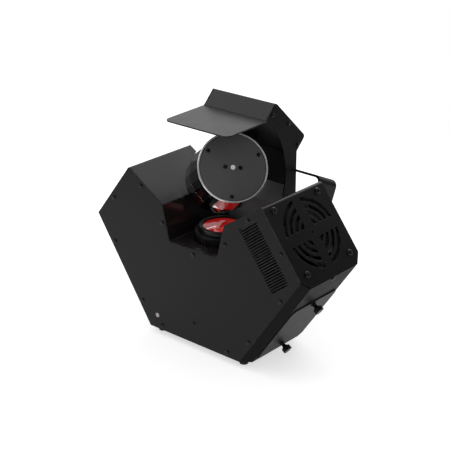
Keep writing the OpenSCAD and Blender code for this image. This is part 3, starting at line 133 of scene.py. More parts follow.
def studio_floor():
    """A white floor that takes the light's shadow."""
    bpy.ops.mesh.primitive_plane_add(size=FLOOR_SIZE, location=(0, 0, 0))
    floor = bpy.context.active_object
    floor.name = "floor"
    paint = bpy.data.materials.new("floor_white")
    make, link = node_tree(paint)
    output = make.new("ShaderNodeOutputMaterial")
    diffuse = make.new("ShaderNodeBsdfDiffuse")
    diffuse.inputs["Color"].default_value = (FLOOR_WHITE, FLOOR_WHITE, FLOOR_WHITE, 1)
    lift = make.new("ShaderNodeEmission")
    path = make.new("ShaderNodeLightPath")
    seen = calculate(make, link, "MAXIMUM", path.outputs["Is Camera Ray"],
                     path.outputs["Is Glossy Ray"])
    seen = calculate(make, link, "MAXIMUM", seen, path.outputs["Is Transmission Ray"])
    link.new(calculate(make, link, "MULTIPLY", seen, FLOOR_LIFT), lift.inputs["Strength"])
    add = make.new("ShaderNodeAddShader")
    link.new(diffuse.outputs[0], add.inputs[0])
    link.new(lift.outputs[0], add.inputs[1])
    link.new(add.outputs[0], output.inputs["Surface"])
    floor.data.materials.append(paint)


def soft_lamp(name, at, aim, width, height, watts):
    """A soft box at one point, turned to another."""
    data = bpy.data.lights.new(name, "AREA")
    data.shape = "RECTANGLE"
    data.size = width
    data.size_y = height
    data.energy = watts
    lamp = bpy.data.objects.new(name, data)
    lamp.location = at
    lamp.rotation_euler = (Vector(aim) - Vector(at)).to_track_quat("-Z", "Y").to_euler()
    bpy.context.scene.collection.objects.link(lamp)


studio_world()
studio_floor()
soft_lamp("back_left", at=(-0.9, 1.7, 1.7), aim=(0, 0, 0.1), width=2.4, height=1.4, watts=17)
soft_lamp("front_left", at=(-1.5, -1.1, 1.7), aim=(0, 0, 0.15), width=1.5, height=1.5, watts=12)
bpy.context.scene.view_settings.view_transform = "Standard"


# The folded case: steel sheet, bent on a press, screwed at its flanges and powder coated in
# satin black. The coat has a fine orange-peel grain, and is painted paler along the folds:
# partly wear, partly a painted highlight where the rounded folds catch the light.
GRAIN_DEPTH = 0.0002
COAT_ROUGHNESS = 0.12
EDGE_STARTS = 0.995
EDGE_FULL = 0.90
EDGE_BREAKUP_STARTS = 0.42
EDGE_BREAKUP_FULL = 0.62


def srgb(*levels):
    """A colour from its levels, 0 to 255, as a screen shows them."""
    parts = [c / 255 for c in levels]
    linear = [c / 12.92 if c <= 0.04045 else ((c + 0.055) / 1.055) ** 2.4 for c in parts]
    return (*linear, 1)


def new_group(name, inputs, outputs):
    """A node group with its input and output nodes, from lists of named sockets."""
    group = bpy.data.node_groups.new(name, "ShaderNodeTree")
    for label, default in inputs:
        socket = group.interface.new_socket(name=label, in_out="INPUT",
                                            socket_type="NodeSocketFloat")
        socket.default_value = default
    for label, kind in outputs:
        group.interface.new_socket(name=label, in_out="OUTPUT", socket_type=kind)
    return (group, group.nodes.new("NodeGroupInput"), group.nodes.new("NodeGroupOutput"))


def surface_grain():
    """Fine grain with slow patches: its height, and a mask of the patches."""
    group, given, result = new_group(
        "surface_grain", [("Scale", 900.0), ("Patch scale", 14.0)],
        [("Height", "NodeSocketFloat"), ("Patches", "NodeSocketFloat")])
    make, link = group.nodes, group.links
    place = make.new("ShaderNodeTexCoord")
    fine = make.new("ShaderNodeTexNoise")
    fine.inputs["Detail"].default_value = 3
    slow = make.new("ShaderNodeTexNoise")
    slow.inputs["Detail"].default_value = 4
    slow.inputs["Roughness"].default_value = 0.6
    link.new(place.outputs["Object"], fine.inputs["Vector"])
    link.new(place.outputs["Object"], slow.inputs["Vector"])
    link.new(given.outputs["Scale"], fine.inputs["Scale"])
    link.new(given.outputs["Patch scale"], slow.inputs["Scale"])
    link.new(fine.outputs["Fac"], result.inputs["Height"])
    link.new(slow.outputs["Fac"], result.inputs["Patches"])
    return group


def edge_wear_and_highlight():
    """A mask of sharp edges, broken by noise, for wear and painted highlight; and a slightly
    rounded edge's normal.
    """
    group, given, result = new_group(
        "edge_wear_and_highlight", [("Radius", 0.0006), ("Breakup", 160.0)],
        [("Mask", "NodeSocketFloat"), ("Normal", "NodeSocketVector")])
    make, link = group.nodes, group.links
    rounded = make.new("ShaderNodeBevel")
    rounded.samples = 4
    flat = make.new("ShaderNodeNewGeometry")
    dot = make.new("ShaderNodeVectorMath")
    dot.operation = "DOT_PRODUCT"
    edge = make.new("ShaderNodeMapRange")
    edge.inputs["From Min"].default_value = EDGE_STARTS
    edge.inputs["From Max"].default_value = EDGE_FULL
    place = make.new("ShaderNodeTexCoord")
    noise = make.new("ShaderNodeTexNoise")
    noise.inputs["Detail"].default_value = 5
    broken = make.new("ShaderNodeMapRange")
    broken.inputs["From Min"].default_value = EDGE_BREAKUP_STARTS
    broken.inputs["From Max"].default_value = EDGE_BREAKUP_FULL
    link.new(given.outputs["Radius"], rounded.inputs["Radius"])
    link.new(rounded.outputs["Normal"], dot.inputs[0])
    link.new(flat.outputs["Normal"], dot.inputs[1])
    link.new(dot.outputs["Value"], edge.inputs["Value"])
    link.new(place.outputs["Object"], noise.inputs["Vector"])
    link.new(given.outputs["Breakup"], noise.inputs["Scale"])
    link.new(noise.outputs["Fac"], broken.inputs["Value"])
    mask = calculate(make, link, "MULTIPLY", edge.outputs["Result"], broken.outputs["Result"])
    link.new(mask, result.inputs["Mask"])
    link.new(rounded.outputs["Normal"], result.inputs["Normal"])
    return group


grain_group = surface_grain()
wear_and_highlight_group = edge_wear_and_highlight()


def finish(name, color, worn_and_lit, roughness=0.42, spread=0.10, grain=0.25, grain_scale=900.0,
           metallic=0.0, coat=0.0, edge=0.0006, level=0.5, patch=0.25):
    """A surface with grain, slow changes of gloss and tone, and paler edges: wear and painted
    highlight.
    """
    material = bpy.data.materials.new(name)
    make, link = node_tree(material)
    output = make.new("ShaderNodeOutputMaterial")
    shader = make.new("ShaderNodeBsdfPrincipled")
    shader.inputs["Metallic"].default_value = metallic
    shader.inputs["Coat Weight"].default_value = coat
    shader.inputs["Coat Roughness"].default_value = COAT_ROUGHNESS
    shader.inputs["Specular IOR Level"].default_value = level
    grained = make.new("ShaderNodeGroup")
    grained.node_tree = grain_group
    grained.inputs["Scale"].default_value = grain_scale
    wear_and_highlight = make.new("ShaderNodeGroup")
    wear_and_highlight.node_tree = wear_and_highlight_group
    wear_and_highlight.inputs["Radius"].default_value = edge
    tone = make.new("ShaderNodeMix")
    tone.data_type = "RGBA"
    tone.inputs["A"].default_value = [c * (1 - patch) for c in color[:3]] + [1]
    tone.inputs["B"].default_value = [c * (1 + patch) for c in color[:3]] + [1]
    rub_and_highlight = make.new("ShaderNodeMix")
    rub_and_highlight.data_type = "RGBA"
    rub_and_highlight.inputs["B"].default_value = worn_and_lit
    gloss = make.new("ShaderNodeMapRange")
    gloss.inputs["To Min"].default_value = roughness - spread
    gloss.inputs["To Max"].default_value = roughness + spread
    bump = make.new("ShaderNodeBump")
    bump.inputs["Strength"].default_value = grain
    bump.inputs["Distance"].default_value = GRAIN_DEPTH
    link.new(grained.outputs["Patches"], tone.inputs["Factor"])
    link.new(tone.outputs["Result"], rub_and_highlight.inputs["A"])
    # The edges are painted paler: partly wear, partly a painted highlight on the rounded folds.
    link.new(wear_and_highlight.outputs["Mask"], rub_and_highlight.inputs["Factor"])
    link.new(rub_and_highlight.outputs["Result"], shader.inputs["Base Color"])
    link.new(grained.outputs["Patches"], gloss.inputs["Value"])
    link.new(gloss.outputs["Result"], shader.inputs["Roughness"])
    link.new(grained.outputs["Height"], bump.inputs["Height"])
    link.new(wear_and_highlight.outputs["Normal"], bump.inputs["Normal"])
    link.new(bump.outputs["Normal"], shader.inputs["Normal"])
    link.new(shader.outputs["BSDF"], output.inputs["Surface"])
    return material


def dress(material, *names):
    """Gives CAD nodes a material in place of the plain one they were packed with."""
    for name in names:
        mesh = nodes[name].data
        mesh.materials.clear()
        mesh.materials.append(material)


CASE_BLACK = srgb(24, 24, 25)
# The paler edge grey: partly wear, partly a painted highlight along the folds.
CASE_WORN_AND_LIT = srgb(74, 74, 76)
FOLD_R = 0.0012
case_coat = finish("case_powder_coat", CASE_BLACK, CASE_WORN_AND_LIT, roughness=0.36, level=0.14,
                   edge=FOLD_R)
dress(case_coat, "front_plate", "back_plate", "base_plate", "left_side_panel",
      "left_vent_panel", "fan_panel", "right_side_panel")


# The roof panels: the two folded sheets on either side of the notch, screwed down along their
# edges. They are coated with the case, and their coat has flowed out a little glossier.
roof_coat = finish("roof_powder_coat", CASE_BLACK, CASE_WORN_AND_LIT, roughness=0.34, level=0.24,
                   edge=FOLD_R)
dress(roof_coat, "left_roof_panel", "right_roof_panel")


# The lower covers close the case's lower corners: sheet folded to a shallow box with chamfered
# ends. The right one has an opening that the access door closes, held by its two thumbscrews.
# The covers' coat is painted a little paler than the case's, as painted light that lifts their
# shaded chamfers.
cover_coat_painted_light = finish("cover_powder_coat_painted_light", srgb(32, 32, 33), srgb(42, 42, 43), roughness=0.50,
                    level=0.03, edge=FOLD_R)
dress(cover_coat_painted_light, "lower_left_cover", "lower_right_cover")
door_coat = finish("door_powder_coat", srgb(29, 29, 31), CASE_WORN_AND_LIT, roughness=0.44, level=0.07)
dress(door_coat, "access_door")


# The notch's tray: one folded sheet that lines the notch under the drum. It is painted in
# gloss black, so the red lens mirrors in its walls, and its black is tinted slightly red as
# painted light from the lens.
tray_gloss_painted_red_cast = finish("tray_gloss_paint_painted_red_cast", srgb(28, 24, 24), srgb(60, 60, 62), roughness=0.2,
                    spread=0.04, grain=0.05, coat=0.6)
dress(tray_gloss_painted_red_cast, "notch_tray")


# The canopy over the drum, its arm and the flat hood: steel sheet, folded and screwed at two
# side plates. It has the case's powder coat; the shell and motor plate are painted much paler,
# as painted light where the lamps catch the shell's top. All are painted paler along the folds,
# partly wear and partly painted highlight.
canopy_coat_painted_light = finish("canopy_powder_coat_painted_light", srgb(60, 60, 61), CASE_WORN_AND_LIT, roughness=0.36,
                     level=0.24, edge=FOLD_R)
dress(canopy_coat_painted_light, "canopy_shell", "pan_motor_plate")
side_coat = finish("canopy_side_powder_coat", srgb(23, 23, 24), CASE_WORN_AND_LIT, roughness=0.40,
                   level=0.05, edge=FOLD_R)
dress(side_coat, "canopy_side_left", "canopy_side_right")
hood_coat = finish("hood_powder_coat", srgb(24, 24, 25), CASE_WORN_AND_LIT, roughness=0.36,
                   level=0.15, edge=FOLD_R)
dress(hood_coat, "drum_hood")


# The guard: a sloping steel sheet behind the notch, between the arm's side plates. It keeps
# stray light off the arm, and is painted in a paler grey than the rest.
guard_paint = finish("guard_grey_paint", srgb(142, 142, 145), srgb(170, 170, 172),
                     roughness=0.38, grain=0.12, patch=0.15)
dress(guard_paint, "arm_guard_plate")


# The fan's grille and frame: a laser-cut steel plate, powder coated and screwed on at its
# corners, over the square frame of a bought fan, moulded in one piece.
# The grille's coat is painted darker than the case's, as painted shade on this side, turned away
# from the lamps.
grille_coat_painted_shade = finish("grille_powder_coat_painted_shade", srgb(15, 15, 16), srgb(80, 80, 82), roughness=0.32,
                     level=0.2)
dress(grille_coat_painted_shade, "fan_grille_plate")
fan_plastic = finish("fan_moulded_plastic", srgb(50, 50, 52), srgb(70, 70, 72),
                     roughness=0.34, grain=0.08, grain_scale=400)
dress(fan_plastic, "fan_frame")


# The case's screws: small pan-head machine screws in black oxide steel, driven with a
# cross-head bit through the plates into the panels' flanges.
SCREW_H = 0.0017
FAN_SCREW_H = 0.0022
DRUM_SCREW_H = 0.0013
HEAD_ROUND = 0.85
RECESS_REACH = 0.56
RECESS_WIDTH = 0.62
RECESS_HEIGHT = 1.3
RECESS_TAPER = 0.42
RECESS_TURN = 20
SCREW_TURN = 0.6


def clear_selection():
    bpy.ops.object.select_all(action="DESELECT")


def own_copy(piece, place):
    """A copy of a piece with its own mesh, moved to a place."""
    copy = piece.copy()
    copy.data = piece.data.copy()
    bpy.context.scene.collection.objects.link(copy)
    copy.data.transform(place)
    return copy


def join(pieces, name):
    """Joins pieces into the first of them and names it."""
    clear_selection()
    for piece in pieces:
        piece.select_set(True)
    bpy.context.view_layer.objects.active = pieces[0]
    bpy.ops.object.join()
    pieces[0].name = name
    return pieces[0]


def solids(node):
    """The corners of each separate solid in a CAD node."""
    mesh = bmesh.new()
    mesh.from_mesh(nodes[node].data)
    bmesh.ops.remove_doubles(mesh, verts=mesh.verts, dist=1e-6)
    found = []
    for first in mesh.verts:
        if first.tag:
            continue
        first.tag = True
        reach = [first]
        for corner in reach:
            for edge in corner.link_edges:
                other = edge.other_vert(corner)
                if not other.tag:
                    other.tag = True
                    reach.append(other)
        found.append(np.array([corner.co for corner in reach]))
    mesh.free()
    return found


def screw_seat(corners):
    """A matrix that sets a screw's head on its seat, facing out, and the head's radius."""
    middle = corners.mean(0)
    sizes, ways = np.linalg.eigh(np.cov((corners - middle).T))
    axis = ways[:, 2] if sizes[2] - sizes[1] > sizes[1] - sizes[0] else ways[:, 0]
    along = (corners - middle) @ axis
    across = np.linalg.norm(corners - middle - np.outer(along, axis), axis=1)
    head = along[across > 0.9 * across.max()]
    if head.mean() < (along.max() + along.min()) / 2:
        axis, head = -axis, -head
    seat = Vector(middle + axis * head.min())
    turn = Vector((0, 0, 1)).rotation_difference(Vector(axis))
    return Matrix.Translation(seat) @ turn.to_matrix().to_4x4(), float(across.max())


def shade(piece, angle=32):
    """Smooths a piece's curved faces and keeps its edges sharp past an angle in degrees."""
    clear_selection()
    piece.select_set(True)
    bpy.context.view_layer.objects.active = piece
    bpy.ops.object.shade_smooth_by_angle(angle=math.radians(angle))


def pan_head(name, radius, height, socket_r):
    """A pan head with a tapered cross recess and a short stub of its shank."""
    clear_selection()
    bpy.ops.mesh.primitive_cylinder_add(vertices=28, radius=radius, depth=height,
                                        location=(0, 0, height / 2))
    head = bpy.context.active_object
    head.name = name
    bpy.ops.object.transform_apply()
    bpy.ops.object.mode_set(mode="EDIT")
    bpy.ops.mesh.select_all(action="DESELECT")
    mesh = bmesh.from_edit_mesh(head.data)
    for edge in mesh.edges:
        edge.select = all(corner.co.z > height * 0.9 for corner in edge.verts)
    bpy.ops.mesh.bevel(offset=height * HEAD_ROUND, segments=4, profile=0.5)
    bpy.ops.object.mode_set(mode="OBJECT")
    for turn in (RECESS_TURN, RECESS_TURN + 90):
        clear_selection()
        bpy.ops.mesh.primitive_cube_add(size=1, location=(0, 0, height))
        blade = bpy.context.active_object
        blade.scale = (2 * socket_r, RECESS_WIDTH * socket_r, RECESS_HEIGHT * height)
        bpy.ops.object.transform_apply(scale=True)
        for corner in blade.data.vertices:
            if corner.co.z < 0:
                corner.co.x *= RECESS_TAPER
        blade.rotation_euler.z = math.radians(turn)
        clear_selection()
        head.select_set(True)
        bpy.context.view_layer.objects.active = head
        cut = head.modifiers.new("recess", "BOOLEAN")
        cut.object = blade
        cut.solver = "EXACT"
        bpy.ops.object.modifier_apply(modifier=cut.name)
        bpy.data.objects.remove(blade)
    shade(head)
    return head


def set_screws(name, node, body, height):
    """Sets a detailed screw in each of a node's seats, each turned to another angle."""
    seats = [screw_seat(corners) for corners in solids(node)]
    head_r = max(radius for seat, radius in seats)
    master = pan_head(name, head_r, height, head_r * RECESS_REACH)
    master.data.materials.append(black_oxide)
    copies = []
    for count, (seat, radius) in enumerate(seats):
        bigger = Matrix.Diagonal((radius / head_r, radius / head_r, 1, 1))
        copies.append(own_copy(
            master, seat @ Matrix.Rotation(SCREW_TURN * count, 4, "Z") @ bigger))
    bpy.data.objects.remove(master)
    screws = join(copies, name)
    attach(screws, body)
    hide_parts(node)


black_oxide = finish("black_oxide_steel", srgb(50, 50, 53), srgb(120, 120, 124), roughness=0.26,
                     spread=0.08, grain=0.06, metallic=0.8)
set_screws("case_pan_screws", "case_screws", "case", SCREW_H)
set_screws("canopy_pan_screws", "canopy_screws", "case", SCREW_H)
set_screws("fan_pan_screws", "fan_screws", "case", FAN_SCREW_H)
set_screws("drum_pan_screws", "drum_cap_screws", "drum", DRUM_SCREW_H)


# The fan's rotor: moulded in one piece, seven thin swept blades round a cup-shaped hub that
# covers the motor. It stands in its frame behind the grille's slots.
def axis_frame(joint, up):
    """A joint's own frame: X along its axis and Z as near as can be to up."""
    along = Vector(joints[joint]["axis"]).normalized()
    side = Vector(up).cross(along).normalized()
    turn = Matrix((along, side, along.cross(side))).transposed()
    return Matrix.Translation(joints[joint]["pos_m"]) @ turn.to_4x4()


def corners_in(place, node):
    """A CAD node's corners in the frame of a place."""
    return [place.inverted() @ nodes[node].matrix_world @ v.co
            for v in nodes[node].data.vertices]


FAN = axis_frame("fan_spin", (0, 0, 1))
rotor_corners = corners_in(FAN, "fan_rotor")
ROTOR_LOW = min(c.x for c in rotor_corners)
ROTOR_HIGH = max(c.x for c in rotor_corners)
ROTOR_R = max(c.yz.length for c in rotor_corners)
HUB_R = 0.019
HUB_ROUND = 0.0022
HUB_RIM = 0.0045
HUB_DISH = 0.0006
HUB_DISH_ROUND = 0.0002
BLADES = 7
BLADE_T = 0.0011
BLADE_ROOT = 0.0005
BLADE_CLEAR = 0.003
BLADE_SPAN = 0.82
BLADE_SPAN_LOSS = 0.10
BLADE_SWEEP = 0.42
BLADE_SWEEP_POWER = 1.6
BLADE_PITCH = 0.94
BLADE_PITCH_LOSS = 0.22
BLADE_CAMBER = 0.0016
FACING = 0.9


def pick_faces(piece, wanted):
    """In edit mode, selects a piece's faces that wanted() says yes to, and no others."""
    bpy.ops.mesh.select_all(action="DESELECT")
    bpy.ops.mesh.select_mode(type="FACE")
    mesh = bmesh.from_edit_mesh(piece.data)
    for face in mesh.faces:
        face.select = wanted(face)


def facing(way):
    """A test for the faces that look a given way."""
    return lambda face: face.normal.dot(Vector(way)) > FACING


def fan_hub():
    """The hub: a cup with a rounded rim and a shallow dish in its end."""
    clear_selection()
    bpy.ops.mesh.primitive_cylinder_add(vertices=64, radius=HUB_R,
                                        depth=ROTOR_HIGH - ROTOR_LOW,
                                        rotation=(0, math.pi / 2, 0),
                                        location=((ROTOR_HIGH + ROTOR_LOW) / 2, 0, 0))
    hub = bpy.context.active_object
    hub.name = "fan_hub"
    bpy.ops.object.transform_apply(location=True, rotation=True, scale=True)
    bpy.ops.object.mode_set(mode="EDIT")
    pick_faces(hub, facing((1, 0, 0)))
    bpy.ops.mesh.bevel(offset=HUB_ROUND, segments=5)
    bpy.ops.mesh.inset(thickness=HUB_RIM)
    bpy.ops.mesh.extrude_region_move(TRANSFORM_OT_translate={"value": (-HUB_DISH, 0, 0)})
    bpy.ops.mesh.inset(thickness=HUB_DISH_ROUND)
    bpy.ops.object.mode_set(mode="OBJECT")
    return hub


def fan_blade():
    """One blade: a sheet that narrows, sweeps back and flattens from the hub to its tip."""
    clear_selection()
    bpy.ops.mesh.primitive_grid_add(x_subdivisions=16, y_subdivisions=12, size=1)
    blade = bpy.context.active_object
    blade.name = "fan_blade"
    bpy.ops.object.mode_set(mode="EDIT")
    mesh = bmesh.from_edit_mesh(blade.data)
    depth = ROTOR_HIGH - ROTOR_LOW - BLADE_CLEAR
    root = HUB_R - BLADE_ROOT
    for corner in mesh.verts:
        out, chord = corner.co.x + 0.5, corner.co.y
        radius = root + out * (ROTOR_R - root)
        angle = (chord * (BLADE_SPAN - BLADE_SPAN_LOSS * out)
                 + BLADE_SWEEP * out ** BLADE_SWEEP_POWER)
        rise = (-chord * depth * (BLADE_PITCH - BLADE_PITCH_LOSS * out)
                + BLADE_CAMBER * (0.25 - chord * chord))
        corner.co = ((ROTOR_HIGH + ROTOR_LOW) / 2 + rise, radius * math.cos(angle),
                     radius * math.sin(angle))
    bmesh.update_edit_mesh(blade.data)
    bpy.ops.object.mode_set(mode="OBJECT")
    wall = blade.modifiers.new("wall", "SOLIDIFY")
    wall.thickness = BLADE_T
    wall.offset = 0
    bpy.ops.object.modifier_apply(modifier=wall.name)
    return blade


def fan_rotor(name):
    """The hub with its blades, in the place that the fan's own axis gives it."""
    hub = fan_hub()
    blade = fan_blade()
    blades = [own_copy(blade, Matrix.Rotation(2 * math.pi * k / BLADES, 4, "X"))
              for k in range(BLADES)]
    bpy.data.objects.remove(blade)
    whole = join([hub, *blades], name)
    whole.data.transform(FAN)
    shade(whole, 40)
    return whole


rotor = fan_rotor("fan_blades_moulded")
rotor_plastic = finish("rotor_moulded_plastic", srgb(58, 58, 60), srgb(80, 80, 82),
                       roughness=0.30, grain=0.06, grain_scale=400, level=0.6)
rotor.data.materials.append(rotor_plastic)
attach(rotor, "fan_blades")
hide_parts("fan_rotor")


# The indicator's window: a small pale plastic moulding, pressed into the front plate over a
# status lamp. Its skin is smooth.
dress(finish("indicator_plastic", srgb(196, 186, 184), srgb(196, 186, 184), roughness=0.2),
      "indicator_window")


# The feet: four rubber mouldings with a hollow for the screw that holds each to the base.
# Rubber is the dullest surface here, and dust leaves it slightly uneven.
foot_rubber = finish("foot_rubber", srgb(18, 18, 18), srgb(40, 40, 40), roughness=0.75,
                     grain=0.4, grain_scale=500)
dress(foot_rubber, "rubber_feet")


# The hand parts and sockets: thumbscrews, bracket knobs, menu buttons, the mains inlet, the
# fuse holder and the data sockets are all moulded in black plastic with a fine satin skin.
hand_plastic = finish("hand_moulded_plastic", srgb(20, 20, 21), srgb(60, 60, 61),
                      roughness=0.36, grain=0.15, grain_scale=600, level=0.2)
dress(hand_plastic, "upper_thumbscrew", "lower_thumbscrew", "bracket_knob_left",
      "bracket_knob_right", "menu_button_1", "menu_button_2", "menu_button_3",
      "menu_button_4", "power_inlet", "fuse_holder", "data_sockets")


# The hanging bracket and the drum's pan bracket: steel strap, bent on a press and powder
# coated like the case, but a little duller. The ears that carry the bracket are blacked.
strap_coat = finish("strap_powder_coat", srgb(22, 22, 23), CASE_WORN_AND_LIT, roughness=0.42, level=0.1)
dress(strap_coat, "hanging_bracket", "pan_bracket")
dress(black_oxide, "bracket_ears")


# The lens group: a tube, a ribbed focus ring and a cell, turned from aluminium and anodised
# black. The ring turns on the tube and carries the cell up and down with the front lens.
lens_anodised = finish("lens_anodised_black", srgb(18, 18, 19), srgb(70, 70, 72),
                       roughness=0.30, grain=0.1, level=0.3)
dress(lens_anodised, "lens_tube", "focus_ring", "lens_cell")


# The front lens: a pressed glass dome, polished. Its red glow is painted on as emission, in
# place of the lamp below, and its paler patches are painted reflections of the drum's flat
# mirrors.
LENS_PAINTED_GLOW_RED = srgb(200, 34, 32)
LENS_PAINTED_REFLECTION = srgb(226, 166, 166)
LENS_REFLECTION_SCALE = 72
LENS_REFLECTION_FROM = 0.48
LENS_REFLECTION_TO = 0.52
LENS_IOR = 2.1
LENS_PAINTED_GLOW_STRENGTH = 0.34


def lens_glass(name):
    """Polished glass with a painted red glow, and paler painted reflections in some of its
    cells.
    """
    material = bpy.data.materials.new(name)
    make, link = node_tree(material)
    output = make.new("ShaderNodeOutputMaterial")
    shader = make.new("ShaderNodeBsdfPrincipled")
    shader.inputs["Roughness"].default_value = 0.03
    shader.inputs["Specular IOR Level"].default_value = 1.0
    shader.inputs["IOR"].default_value = LENS_IOR
    shader.inputs["Base Color"].default_value = srgb(150, 6, 8)
    place = make.new("ShaderNodeTexCoord")
    cells = make.new("ShaderNodeTexVoronoi")
    cells.inputs["Scale"].default_value = LENS_REFLECTION_SCALE
    link.new(place.outputs["Object"], cells.inputs["Vector"])
    chosen = make.new("ShaderNodeSeparateColor")
    link.new(cells.outputs["Color"], chosen.inputs["Color"])
    painted_reflection_mask = make.new("ShaderNodeMapRange")
    painted_reflection_mask.inputs["From Min"].default_value = LENS_REFLECTION_FROM
    painted_reflection_mask.inputs["From Max"].default_value = LENS_REFLECTION_TO
    link.new(chosen.outputs["Red"], painted_reflection_mask.inputs["Value"])
    glow = make.new("ShaderNodeMix")
    glow.data_type = "RGBA"
    glow.inputs["A"].default_value = LENS_PAINTED_GLOW_RED
    glow.inputs["B"].default_value = LENS_PAINTED_REFLECTION
    link.new(painted_reflection_mask.outputs["Result"], glow.inputs["Factor"])
    # The glow is painted: a painted red glow for the lamp below, with painted reflections of the
    # mirrors.
    link.new(glow.outputs["Result"], shader.inputs["Emission Color"])
    shader.inputs["Emission Strength"].default_value = LENS_PAINTED_GLOW_STRENGTH
    link.new(shader.outputs["BSDF"], output.inputs["Surface"])
    return material


dress(lens_glass("lens_red_painted_glow"), "front_lens")


# The back panel's readout: red seven-segment digits behind a smoked window, each made up of
# flat glowing bars. It shows a plain number.
DIGIT_W = 0.0048
DIGIT_H = 0.0095
DIGIT_PITCH = 0.0085
BAR = 0.0011
BAR_T = 0.0002
BARS = {"a": (0, 1), "b": (0.5, 0.5), "c": (0.5, -0.5), "d": (0, -1), "e": (-0.5, -0.5),
        "f": (-0.5, 0.5), "g": (0, 0)}
LIT = {"0": "abcdef", "1": "bc"}
DIGIT_GLOW = 0.9


def box_of(corners):
    """The lowest and the highest corner of a set of points."""
    corners = np.array(corners)
    return corners.min(0), corners.max(0)


def digit_bars(text):
    """A number's lit bars, in the middle of the window and flat on its face."""
    low, high = box_of(corners_in(Matrix.Identity(4), "display_window"))
    middle = (low + high) / 2
    bars = []
    for place, digit in enumerate(text):
        for name in LIT[digit]:
            across, up = BARS[name]
            x = middle[0] - (place - (len(text) - 1) / 2) * DIGIT_PITCH - across * DIGIT_W
            bpy.ops.mesh.primitive_cube_add(
                size=1, location=(x, high[1], middle[2] + up * DIGIT_H / 2))
            bar = bpy.context.active_object
            upright = name in "bcef"
            bar.scale = (BAR, BAR_T, DIGIT_H / 2 - BAR) if upright else (
                DIGIT_W - BAR, BAR_T, BAR)
            bpy.ops.object.transform_apply(location=True, scale=True)
            bars.append(bar)
    return join(bars, "display_digits")


digits = digit_bars("001")
glow = finish("digit_red_glow", srgb(150, 8, 8), srgb(150, 8, 8), roughness=0.3)
glowing = glow.node_tree.nodes["Principled BSDF"]
glowing.inputs["Emission Color"].default_value = srgb(255, 30, 20)
glowing.inputs["Emission Strength"].default_value = DIGIT_GLOW
digits.data.materials.append(glow)
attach(digits, "case")
dress(finish("window_acrylic", srgb(10, 10, 14), srgb(20, 20, 20), roughness=0.08),
      "display_window")


# The data socket's three contacts: pins turned from brass, nickel plated, with round ends. They
# stand in a triangle, deep inside the socket's mouth.
PIN_R = 0.00125
PIN_LEN = 0.0095
PIN_DEEP = 0.0126
PIN_OUT = 0.004
PIN_END_R = 0.0006
FLANGE_LEAST_W = 0.02
socket_flanges = [box_of(corners) for corners in solids("data_sockets")
                  if np.ptp(corners[:, 0]) > FLANGE_LEAST_W]
socket_flanges.sort(key=lambda box: box[0][0])
nickel = finish("nickel_plate", srgb(196, 192, 184), srgb(214, 210, 202), roughness=0.22,
                spread=0.05, grain=0.03, metallic=1.0, patch=0.05)


def contact_pins():
    """Three pins in the first socket, the data input."""
    low, high = socket_flanges[0]
    middle = (low + high) / 2
    pins = []
    for dx, dz in ((PIN_OUT, 0), (0, -PIN_OUT), (-PIN_OUT, 0)):
        bpy.ops.mesh.primitive_cylinder_add(
            vertices=24, radius=PIN_R, depth=PIN_LEN, rotation=(math.pi / 2, 0, 0),
            location=(middle[0] + dx, high[1] - PIN_DEEP, middle[2] + dz))
        pin = bpy.context.active_object
        bpy.ops.object.transform_apply(location=True, rotation=True, scale=True)
        bpy.ops.object.mode_set(mode="EDIT")
        pick_faces(pin, facing((0, 1, 0)))
        bpy.ops.mesh.bevel(offset=PIN_END_R, segments=4)
        bpy.ops.object.mode_set(mode="OBJECT")
        pins.append(pin)
    joined = join(pins, "socket_contact_pins")
    shade(joined)
    return joined


pins = contact_pins()
pins.data.materials.append(nickel)
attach(pins, "case")


# The flange screws: each data socket's flange is held to the back plate by two small pan-head
# screws in black oxide steel, in opposite corners.
FLANGE_SCREW_R = 0.0027
FLANGE_SCREW_H = 0.0015
FLANGE_RECESS_R = 0.0014
FLANGE_SCREW_ACROSS = 0.0098
FLANGE_SCREW_UP = 0.0123
FLANGE_SCREW_TURN = 0.5


def flange_screws():
    """The two screws of each socket, each turned to another angle."""
    master = pan_head("flange_screw", FLANGE_SCREW_R, FLANGE_SCREW_H, FLANGE_RECESS_R)
    master.data.materials.append(black_oxide)
    copies = []
    for low, high in socket_flanges:
        middle = (low + high) / 2
        for side in (-1, 1):
            seat = Vector((middle[0] + side * FLANGE_SCREW_ACROSS, high[1],
                           middle[2] - side * FLANGE_SCREW_UP))
            copies.append(own_copy(master, Matrix.Translation(seat)
                                   @ Matrix.Rotation(-math.pi / 2, 4, "X")
                                   @ Matrix.Rotation(FLANGE_SCREW_TURN * side + seat.x, 4, "Z")))
    bpy.data.objects.remove(master)
    return join(copies, "flange_screws")


socket_screws = flange_screws()
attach(socket_screws, "case")


# The drum's barrel: moulded in black plastic, open at the back over its roll motor, with two
# rings of facets that the mirrors are glued to. It turns on the roll motor's shaft.
DRUM = axis_frame("drum_roll", [-c for c in joints["pan"]["axis"]])
drum_corners = corners_in(DRUM, "drum_shell")
MIRROR_COUNT = 22
MIRROR_STEP = 2 * math.pi / MIRROR_COUNT
MIRROR_T = 0.0012
DRUM_FRONT = max(c.x for c in drum_corners)
DRUM_REAR = -min(c.x for c in drum_corners)
DRUM_MID_R = max(c.yz.length for c in drum_corners)
DRUM_EDGE = 0.0001
DRUM_END_R = max(c.yz.length for c in drum_corners if c.x > DRUM_FRONT - DRUM_EDGE)
DRUM_BORE_R = 0.0405
DRUM_WEB = 0.002
# The frame is turned about its axis until a corner between two facets lies straight below it.
first_corner = max(drum_corners, key=lambda c: c.yz.length)
DRUM = DRUM @ Matrix.Rotation(math.atan2(first_corner.y, -first_corner.z), 4, "X").inverted()


